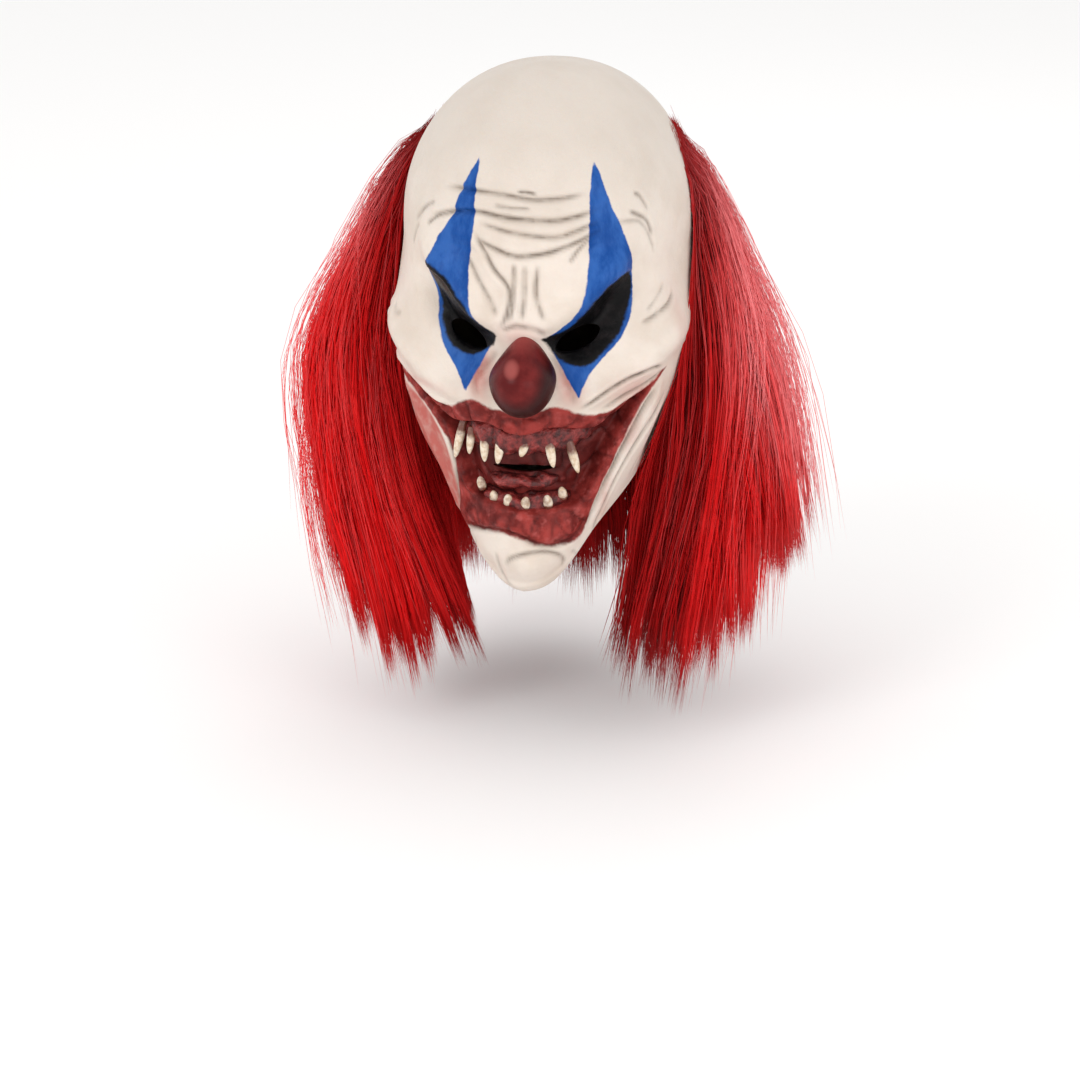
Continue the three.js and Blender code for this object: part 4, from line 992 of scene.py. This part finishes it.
# The teeth: crooked pegs, thirteen in all, cast in ivory colour and stained brown at their roots.
tooth_enamel, tree, shader = new_material("tooth_enamel", coat_weight=0.35, coat_roughness=0.15)
stain = span(tree, noise(tree, 420.0, 4.0), 0.35, 0.7)
colour = blend_colours(tree, stain, rgb(228, 214, 194), rgb(196, 168, 136))
root = calc(tree, "ADD", attribute(tree, "root"), span(tree, noise(tree, 300.0), 0.3, 0.7, -0.2, 0.2))
colour = blend_colours(tree, span(tree, root, 0.25, 0.95), colour, rgb(104, 56, 40))
tree.links.new(colour, shader.inputs["Base Color"])
tree.links.new(span(tree, stain, 0.0, 1.0, 0.26, 0.4), shader.inputs["Roughness"])
roughen(tree, shader, noise(tree, 700.0, 3.0, 0.5, (1.0, 1.0, 0.25)), 0.2, 0.0004)


def peg_tooth(name, node, row, up, bulge):
    """A smooth peg with a swollen middle and a blunt tip, leaning aside. Up is 1 in the lower jaw."""
    angle, level, long, wide, lean = row
    long, half = long * MASK_HEIGHT, wide * MASK_HEIGHT / 2
    steps, corners = 22, 20
    share = np.linspace(0.0, 1.0, steps)[:, None]
    phase = np.linspace(0, 2 * math.pi, corners + 1)[None, :]
    swell = 0.72 + 0.36 * np.sin(math.pi * share**0.8)
    swell = swell * np.sqrt(np.maximum(0.0, 1 - (np.maximum(share - 0.55, 0.0) / 0.45) ** 2.6))
    swell[0] = 0.0
    px = half * swell * np.cos(phase)
    py = half * 0.9 * swell * np.sin(phase) - 1.1 * np.sin(share * math.pi / 2) ** 2
    pz = up * long * (share - TOOTH_ROOT_SHARE) + 0 * phase
    tilt = math.radians(up * lean)
    turned_x = px * math.cos(tilt) + pz * math.sin(tilt)
    turned_z = pz * math.cos(tilt) - px * math.sin(tilt)
    place_angle, place_level = np.array([float(angle)]), np.array([float(level)])
    outward = mouth_floor(place_angle, place_level)[0] + GUM_BULGE * bulge * TOOTH_STAND
    turn = math.radians(angle)
    points = np.stack([
        turned_x * math.cos(turn) + (outward - py) * math.sin(turn),
        turned_x * math.sin(turn) - (outward - py) * math.cos(turn),
        turned_z + WALL - level * MASK_HEIGHT,
    ], axis=-1)
    piece = moulded(name, points)
    bpy.ops.object.shade_smooth()
    rise = (places_of(piece)[:, 2] - (WALL - level * MASK_HEIGHT)) * up
    root_share = 1 - ease((rise + (0.12 if up < 0 else 0.2) * long) / (0.42 * long))
    root_share = np.maximum(root_share, 0.45 if up > 0 else 0.0)
    keep_values(piece, "root", root_share)
    piece.data.materials.append(tooth_enamel)
    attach(piece, "root")
    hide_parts(node)
    return piece


for i, row in enumerate(UPPER_TEETH):
    peg_tooth(f"upper_peg_{i + 1}", f"upper_tooth_{i + 1}", row, -1, 1.0)
for i, row in enumerate(LOWER_TEETH):
    peg_tooth(f"lower_peg_{i + 1}", f"lower_tooth_{i + 1}", row, 1, 0.95)


# The hair: long loose synthetic fibre, bright red, sewn to a weft that is glued round the sides
# and the back of the head. It hangs in overlapping locks, each made of many thin wisps.
HAIR_HALF_WIDTH = 153.0
HAIR_LENGTH = 346.0
HAIR_FRONT = 50.0
HAIR_BACK = 128.0
LOCK_WIDTH = 48.0
LOCK_THICKNESS = 26.0
# Locks: root angle, root level, the belly and the tip as (across, down, forward), and the size.
LEFT_LOCKS = [
    (98, 0.2, (0.6, 0.6, 0.25), (0.34, 0.94, 0.5), 0.95),
    (101, 0.11, (0.74, 0.45, 0.1), (0.53, 0.98, 0.7), 1.0),
    (108, 0.26, (0.78, 0.66, 0.3), (0.64, 0.93, 0.55), 0.95),
    (113, 0.11, (0.87, 0.48, -0.1), (0.74, 0.85, 0.25), 1.0),
    (121, 0.2, (0.86, 0.62, -0.5), (0.76, 0.8, -0.3), 0.95),
    (129, 0.13, (0.8, 0.52, -1.05), (0.66, 0.9, -0.8), 1.05),
    (138, 0.17, (0.63, 0.58, -1.9), (0.53, 0.9, -1.7), 1.1),
]
RIGHT_LOCKS = [
    (98, 0.2, (0.54, 0.58, 0.25), (0.41, 0.95, 0.5), 1.0),
    (101, 0.11, (0.67, 0.42, 0.1), (0.54, 0.98, 0.75), 1.12),
    (108, 0.26, (0.71, 0.6, 0.3), (0.73, 0.9, 0.55), 1.05),
    (113, 0.11, (0.76, 0.44, -0.1), (0.93, 0.77, 0.25), 1.0),
    (121, 0.2, (0.78, 0.56, -0.5), (0.86, 0.8, -0.3), 0.95),
    (129, 0.13, (0.76, 0.52, -1.05), (0.64, 0.84, -0.8), 1.05),
    (138, 0.17, (0.63, 0.58, -1.9), (0.53, 0.88, -1.7), 1.1),
]
BACK_LOCKS = [
    (155, 0.13, (0.45, 0.55, -0.97), (0.43, 0.92, -0.87), 1.1),
    (171, 0.15, (0.15, 0.55, -1.0), (0.15, 0.96, -0.9), 1.1),
    (189, 0.15, (-0.15, 0.55, -1.0), (-0.13, 0.94, -0.9), 1.1),
    (205, 0.13, (-0.45, 0.55, -0.97), (-0.42, 0.93, -0.87), 1.1),
]
# How far the hair puffs out under its roots on the mask's right and on its left, the wisps in a
# lock, the degrees that its roots spread to each side, and how far down and back hair may reach.
PUFF = {-1: 13.0, 1: 7.5}
WISPS_EACH = 26
ROOT_SPREAD = 9.5
LOWEST_TIP = -352.0
FARTHEST_BACK = 148.0
# Where the outer hair begins to be painted paler, as painted light shining through it: millimetres down, and
# out from the middle.
PALE_FROM = {-1: ((40, 90, 130, 200), (70, 86, 120, 145)), 1: ((40, 100, 170, 230), (68, 82, 92, 130))}


def along_curve(knots, shares):
    """Points on smooth curves through four knots each. Knots are (curve, knot, xyz)."""
    gaps = np.linalg.norm(np.diff(knots, axis=1), axis=-1) ** 0.5 + 1e-6
    times = np.concatenate([np.zeros((len(knots), 1)), np.cumsum(gaps, axis=1)], axis=1)
    steps = np.diff(times, axis=1)
    slopes = np.diff(knots, axis=1) / steps[..., None]
    tangents = np.empty_like(knots)
    tangents[:, 0] = slopes[:, 0]
    tangents[:, -1] = slopes[:, -1]
    lead, follow = steps[:, :-1, None], steps[:, 1:, None]
    tangents[:, 1:-1] = (slopes[:, :-1] * follow + slopes[:, 1:] * lead) / (lead + follow)
    lengths = np.linalg.norm(np.diff(knots, axis=1), axis=-1)
    reach = np.concatenate([np.zeros((len(knots), 1)), np.cumsum(lengths, axis=1)], axis=1)
    wanted = shares * reach[:, -1:]
    span_index = np.clip((wanted[..., None] >= reach[:, None, 1:]).sum(-1), 0, knots.shape[1] - 2)
    rows = np.arange(len(knots))[:, None]
    start = reach[rows, span_index]
    t = (wanted - start) / (reach[rows, span_index + 1] - start)
    t = t[..., None]
    step = steps[rows, span_index][..., None]
    a, b = knots[rows, span_index], knots[rows, span_index + 1]
    m, n = tangents[rows, span_index], tangents[rows, span_index + 1]
    return (
        a * (2 * t**3 - 3 * t**2 + 1)
        + b * (3 * t**2 - 2 * t**3)
        + step * ((t**3 - 2 * t**2 + t) * m + (t**3 - t**2) * n)
    )


def spread_root(angle, level, out):
    """Roots on the skin at many angles and levels, moved out by a distance."""
    turned = np.where(angle > 180, angle - 360, angle)
    radius = bare_radius(turned, level) + soft_relief(turned, level) + out
    return skin_points(turned, level, np.zeros_like(level), radius)


def lock_middle(across, down, fore, side, reach):
    """A point on the middle line of a lock, from its shares of the hair's width, length and depth."""
    x = side * across * (HAIR_HALF_WIDTH - LOCK_THICKNESS / 2)
    y = -fore * (reach - LOCK_THICKNESS / 2)
    return np.array([x, y, WALL - down * HAIR_LENGTH])


def fibres(locks, side, reach, count, rings, loose, seed):
    """Thin tapering fibres for some locks, gathered in wisps, as one mesh with its shades."""
    dice = np.random.default_rng(seed)
    knots, wide_axis, thick_axis, wisp_shade = [], [], [], []
    for angle, level, belly, tip, size in locks:
        a = dice.uniform(-1, 1, WISPS_EACH)
        b = dice.uniform(-1, 1, WISPS_EACH)
        long = dice.uniform(0.95, 1.03, WISPS_EACH)
        root_angle = side * (angle + a * ROOT_SPREAD)
        lowest = 0.118 + 0.05 * (angle - 97) / 45
        root_level = level + 0.045 * b + 0.03 * dice.uniform(-1, 1, WISPS_EACH)
        hairline = min(lowest, 0.17) + 0.03 * dice.uniform(0, 1, WISPS_EACH)
        root_level = np.clip(root_level, hairline, 0.42)
        root = spread_root(root_angle, root_level, -2.0)
        radial = root * (1, 1, 0)
        radial /= np.linalg.norm(radial, axis=-1, keepdims=True)
        puff = PUFF[side] + 7.0 * ease((root_level - lowest) / 0.1)
        shoulder = root + radial * (puff + 5 * b)[:, None]
        shoulder[:, 2] -= 21 + 8 * dice.uniform(-1, 1, WISPS_EACH)
        ends = []
        for shares_of_lock, spread in ((belly, 1.05), (tip, 1.15)):
            centre = lock_middle(*shares_of_lock, side, reach)
            out = centre * (1, 1, 0) / math.hypot(centre[0], centre[1])
            beside = np.array([-out[1], out[0], 0.0])
            shift = a[:, None] * beside * LOCK_WIDTH / 2 * spread * size * side
            shift = shift + b[:, None] * out * LOCK_THICKNESS / 2 * spread * size
            ends.append(centre + shift)
        ends[1] = ends[0] + (ends[1] - ends[0]) * long[:, None]
        ends[1][:, 2] += dice.uniform(-7, 7, WISPS_EACH)
        roll = dice.uniform(0, 6.3)
        shoulder += 3.0 * math.cos(roll) * beside
        ends[0] += 4.0 * math.sin(roll) * beside
        knots.append(np.stack([root, shoulder, ends[0], ends[1]], axis=1))
        wide_axis.append(np.repeat(beside[None], WISPS_EACH, axis=0))
        thick_axis.append(np.repeat(out[None], WISPS_EACH, axis=0))
        wisp_shade.append(dice.uniform(0, 1, WISPS_EACH))
    knots = np.concatenate(knots)
    wide_axis, thick_axis = np.concatenate(wide_axis), np.concatenate(thick_axis)
    wisp_shade = np.concatenate(wisp_shade)
    wisp = dice.integers(0, len(knots), count)
    stray = dice.uniform(0, 1, count) < loose
    width = np.where(stray, dice.uniform(4, 9, count), dice.uniform(3.0, 7.5, count))
    turn = dice.uniform(0, 2 * math.pi, count)
    far = np.sqrt(dice.uniform(0, 1, count)) * width
    far_out = stray * dice.uniform(0.0, 1.0, count)
    wide, thick = wide_axis[wisp], thick_axis[wisp]
    place = knots[wisp].copy()
    for k, share in enumerate((0.8, 0.9, 1.0, 0.75)):
        share = np.where(stray & (k == 3), 1.3, share)
        place[:, k] += (np.cos(turn) * far * share)[:, None] * wide
        place[:, k] += (np.sin(turn) * far * share * 0.7)[:, None] * thick
        place[:, k, 2] += dice.normal(0, 2.0, count)
        halo = (0.0, 5.0, 18.0, 20.0)[k] * far_out
        place[:, k] += halo[:, None] * thick
    length = np.where(stray, dice.uniform(0.6, 1.05, count), dice.uniform(0.94, 1.03, count))
    place[:, 3] = place[:, 2] + (place[:, 3] - place[:, 2]) * length[:, None]
    shares = np.linspace(0, 1, rings + 1)[None] ** dice.uniform(0.9, 1.35, count)[:, None]
    path = along_curve(place, shares)
    wave = dice.uniform(0, 6.3, len(knots))[wisp] + dice.normal(0, 0.35, count)
    wave_width = dice.uniform(1.5, 4.6, len(knots))[wisp] * dice.uniform(0.7, 1.5, count)
    turns = dice.uniform(1.1, 2.1, len(knots))[wisp] + dice.normal(0, 0.12, count)
    grown = ease(shares * 3.0)
    swing = np.sin(wave[:, None] + shares * turns[:, None] * 2 * math.pi) * wave_width[:, None] * grown
    sway = np.cos(1.3 * wave[:, None] + shares * turns[:, None] * 1.7 * math.pi)
    sway *= wave_width[:, None] * 0.6 * grown
    path += swing[..., None] * wide[:, None] + sway[..., None] * thick[:, None]
    path[:, 1:] += dice.normal(0, 0.5, path[:, 1:].shape)
    lowest = LOWEST_TIP + 10 * dice.uniform(0, 1, (count, 1)) * shares
    path[..., 2] = np.maximum(path[..., 2], lowest)
    path[..., 1] = np.minimum(path[..., 1], FARTHEST_BACK - 6 * dice.uniform(0, 1, (count, 1)))
    turned = np.degrees(np.arctan2(path[..., 0], -path[..., 1]))
    level = (WALL - path[..., 2]) / MASK_HEIGHT
    head = bare_radius(turned, np.clip(level, 0.01, 1.0)) + 1.0 + 2.5 * shares
    distance = np.hypot(path[..., 0], path[..., 1])
    jaw = table_curve(JAW_LINE, "angle", np.abs(turned), "level")
    push = np.where((level < jaw) & (shares > 0.01), np.maximum(head - distance, 0.0), 0.0) / distance
    path[..., 0] *= 1 + push
    path[..., 1] *= 1 + push
    tangent = np.gradient(path, axis=1)
    tangent /= np.linalg.norm(tangent, axis=-1, keepdims=True)
    first = np.cross(tangent, thick[:, None])
    first /= np.linalg.norm(first, axis=-1, keepdims=True) + 1e-9
    second = np.cross(tangent, first)
    thickness = np.where(stray, 0.17, dice.uniform(0.27, 0.42, count))[:, None] * (1 - 0.25 * shares)
    thickness *= 0.15 + 0.85 * ease(shares * 9.0)
    corners = []
    for phase in (0.0, 2 * math.pi / 3, 4 * math.pi / 3):
        corners.append(path + thickness[..., None] * (math.cos(phase) * first + math.sin(phase) * second))
    hoops = np.stack(corners, axis=2)[:, :rings]
    vertices = np.concatenate([hoops.reshape(count, -1, 3), path[:, -1:]], axis=1)
    each = rings * 3 + 1
    faces = [(0, 2, 1)]
    for ring in range(rings - 1):
        for k in range(3):
            p, q = 3 * ring + k, 3 * ring + (k + 1) % 3
            faces += [(p, q, q + 3), (p, q + 3, p + 3)]
    last = 3 * (rings - 1)
    faces += [(last + k, last + (k + 1) % 3, each - 1) for k in range(3)]
    faces = np.array(faces)[None] + (np.arange(count) * each)[:, None, None]
    ring_share = np.repeat(shares[:, :rings], 3, axis=1)
    along = np.concatenate([ring_share, np.ones((count, 1))], axis=1)
    tone = np.clip(0.55 * wisp_shade[wisp] + 0.45 * dice.uniform(0, 1, count), 0, 1)
    tone = np.repeat(tone[:, None], each, axis=1)
    # Painted light: outer fibres and loose strays turn pale pink, as light shining through thin hair.
    edge = np.interp(-vertices[..., 2], *PALE_FROM[side])
    outer = ease((np.abs(vertices[..., 0]) - edge) / 30)
    pale = np.clip(0.2 * far_out[:, None] + outer * (0.45 + 0.55 * far_out[:, None]), 0, 1)
    values = np.stack([along, tone, pale, near_face(vertices)], axis=-1)
    return vertices.reshape(-1, 3), faces.reshape(-1, 3), values.reshape(-1, 4)


def near_face(points):
    """1 for hair that gets painted shade beside the face, 0 for hair well outside it."""
    edge = 92 - np.where(points[..., 0] > 0, 14, 46) * ease((-points[..., 2] - 150) / 150)
    return 1 - ease((np.abs(points[..., 0]) - edge + 10) / 34)


def lock_core(locks, side, reach):
    """Smooth dark forms inside the locks, so that no light shows through the hair, coloured a darker red than
    the fibres as painted shade inside the locks.
    """
    vertices, faces = [], []
    steps, corners = 14, 12
    for angle, level, belly, tip, size in locks:
        root = spread_root(np.array([float(side * angle)]), np.array([level]), -5.0)[0]
        radial = root * (1, 1, 0) / np.linalg.norm(root * (1, 1, 0))
        shoulder = root + radial * 10 - np.array([0, 0, 30.0])
        knots = np.array([root, shoulder, lock_middle(*belly, side, reach), lock_middle(*tip, side, reach)])
        knots[3] = knots[2] + (knots[3] - knots[2]) * (0.92 if angle < 115 else 0.78)
        shares = np.linspace(0.03, 1, steps)[None]
        path = along_curve(knots[None], shares)[0]
        tangent = np.gradient(path, axis=0)
        tangent /= np.linalg.norm(tangent, axis=-1, keepdims=True)
        out = path * (1, 1, 0)
        out /= np.linalg.norm(out, axis=-1, keepdims=True)
        wide = np.cross(tangent, out)
        wide /= np.linalg.norm(wide, axis=-1, keepdims=True)
        thick = np.cross(wide, tangent)
        swell = size * (0.06 + 0.66 * np.sin(math.pi * np.clip(shares[0], 0, 1) ** 1.15) ** 0.9)
        swell[0] = swell[-1] = 0.06
        start = len(vertices)
        for k in range(steps):
            for c in range(corners):
                phase = 2 * math.pi * c / corners
                move = math.cos(phase) * LOCK_WIDTH / 2 * wide[k]
                move = move + math.sin(phase) * LOCK_THICKNESS / 2.5 * thick[k]
                vertices.append(path[k] + swell[k] * move)
        for k in range(steps - 1):
            for c in range(corners):
                p, q = start + k * corners + c, start + k * corners + (c + 1) % corners
                faces += [(p, q, q + corners), (p, q + corners, p + corners)]
        for c in range(1, corners - 1):
            faces.append((start, start + c + 1, start + c))
            top = start + (steps - 1) * corners
            faces.append((top, top + c, top + c + 1))
    vertices = np.array(vertices)
    # A core keeps the turn round it, as two shares of a circle, where a fibre keeps tone and pale.
    count = len(locks)
    along = np.tile(np.repeat(np.linspace(0, 1, steps), corners), count)
    turn = np.tile(2 * math.pi * np.arange(corners) / corners, count * steps)
    values = np.stack([along, np.cos(turn), np.sin(turn), near_face(vertices)], axis=-1)
    return vertices, np.array(faces), values


red_hair, tree, shader = new_material("red_hair", specular_ior_level=0.12)
tone = attribute(tree, "tone")
along = attribute(tree, "along")
colour = blend_colours(tree, tone, rgb(212, 9, 12), rgb(250, 30, 32))
# Painted shade: the fibres darken towards their roots, under the rest of the hair.
colour = blend_colours(tree, span(tree, along, 0.0, 0.25, 0.5, 0.0), colour, rgb(120, 6, 10))
colour = blend_colours(tree, span(tree, noise(tree, 30.0, 3.0), 0.5, 0.75, 0.0, 0.4), colour, rgb(255, 64, 62))
# Painted shade on the hair beside the face.
colour = blend_colours(tree, calc(tree, "MULTIPLY", attribute(tree, "shade"), 0.62), colour, rgb(132, 8, 10))
# Painted light: pale pink where light would shine through the outer hair.
colour = blend_colours(tree, calc(tree, "MULTIPLY", attribute(tree, "pale"), 0.85), colour, rgb(252, 146, 148))
tree.links.new(colour, shader.inputs["Base Color"])
tree.links.new(span(tree, tone, 0.0, 1.0, 0.56, 0.46), shader.inputs["Roughness"])
hair_core, tree, shader = new_material("hair_core", roughness=0.75, specular_ior_level=0.15)
place = add_node(tree, "ShaderNodeCombineXYZ", z=calc(tree, "MULTIPLY", attribute(tree, "along"), 3.0))
tree.links.new(calc(tree, "MULTIPLY", attribute(tree, "tone"), 14.0), place.inputs["X"])
tree.links.new(calc(tree, "MULTIPLY", attribute(tree, "pale"), 14.0), place.inputs["Y"])
streaks = {"scale": 1.0, "detail": 4.0, "roughness": 0.7}
streak = add_node(tree, "ShaderNodeTexNoise", vector=place.outputs["Vector"], **streaks).outputs["Fac"]
# The cores are a darker red than the fibres: painted shade inside the locks.
colour = blend_colours(tree, span(tree, streak, 0.36, 0.64), rgb(146, 7, 9), rgb(230, 18, 20))
# Painted shade on the cores beside the face.
colour = blend_colours(tree, calc(tree, "MULTIPLY", attribute(tree, "shade"), 0.7), colour, rgb(110, 6, 8))
tree.links.new(colour, shader.inputs["Base Color"])
roughen(tree, shader, streak, 0.7, 0.002)


def hair_piece(name, node, locks, side, reach, count, rings, loose, seed):
    """The fibres and the core of some locks, as one piece."""
    vertices, faces, values = fibres(locks, side, reach, count, rings, loose, seed)
    core_vertices, core_faces, core_values = lock_core(locks, side, reach)
    if side < 0:
        core_faces = core_faces[:, ::-1]
    total = len(vertices)
    vertices = np.concatenate([vertices, core_vertices])
    faces = np.concatenate([faces, core_faces + total])
    mesh = bpy.data.meshes.new(name)
    mesh.vertices.add(len(vertices))
    mesh.vertices.foreach_set("co", (vertices * MM).reshape(-1))
    mesh.loops.add(len(faces) * 3)
    mesh.loops.foreach_set("vertex_index", faces.reshape(-1))
    mesh.polygons.add(len(faces))
    mesh.polygons.foreach_set("loop_start", np.arange(len(faces)) * 3)
    mesh.polygons.foreach_set("use_smooth", np.ones(len(faces), bool))
    mesh.materials.append(red_hair)
    mesh.materials.append(hair_core)
    slots = np.zeros(len(faces), np.int32)
    slots[len(faces) - len(core_faces):] = 1
    mesh.polygons.foreach_set("material_index", slots)
    mesh.update(calc_edges=True)
    mesh.validate()
    piece = bpy.data.objects.new(name, mesh)
    values = np.concatenate([values, core_values])
    for column, key in enumerate(("along", "tone", "pale", "shade")):
        keep_values(piece, key, values[:, column])
    bpy.context.scene.collection.objects.link(piece)
    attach(piece, "root")
    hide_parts(node)
    return piece


for node, side, locks in (("hair_left", -1, LEFT_LOCKS), ("hair_right", 1, RIGHT_LOCKS)):
    hair_piece(f"{node}_front", node, locks[:4], side, HAIR_FRONT, 4240, 8, 0.24, 11 + side)
    hair_piece(f"{node}_rear", node, locks[4:], side, HAIR_FRONT, 3900, 6, 0.1, 21 + side)
hair_piece("hair_back_fall", "hair_back", BACK_LOCKS, 1, HAIR_BACK, 4000, 6, 0.05, 31)
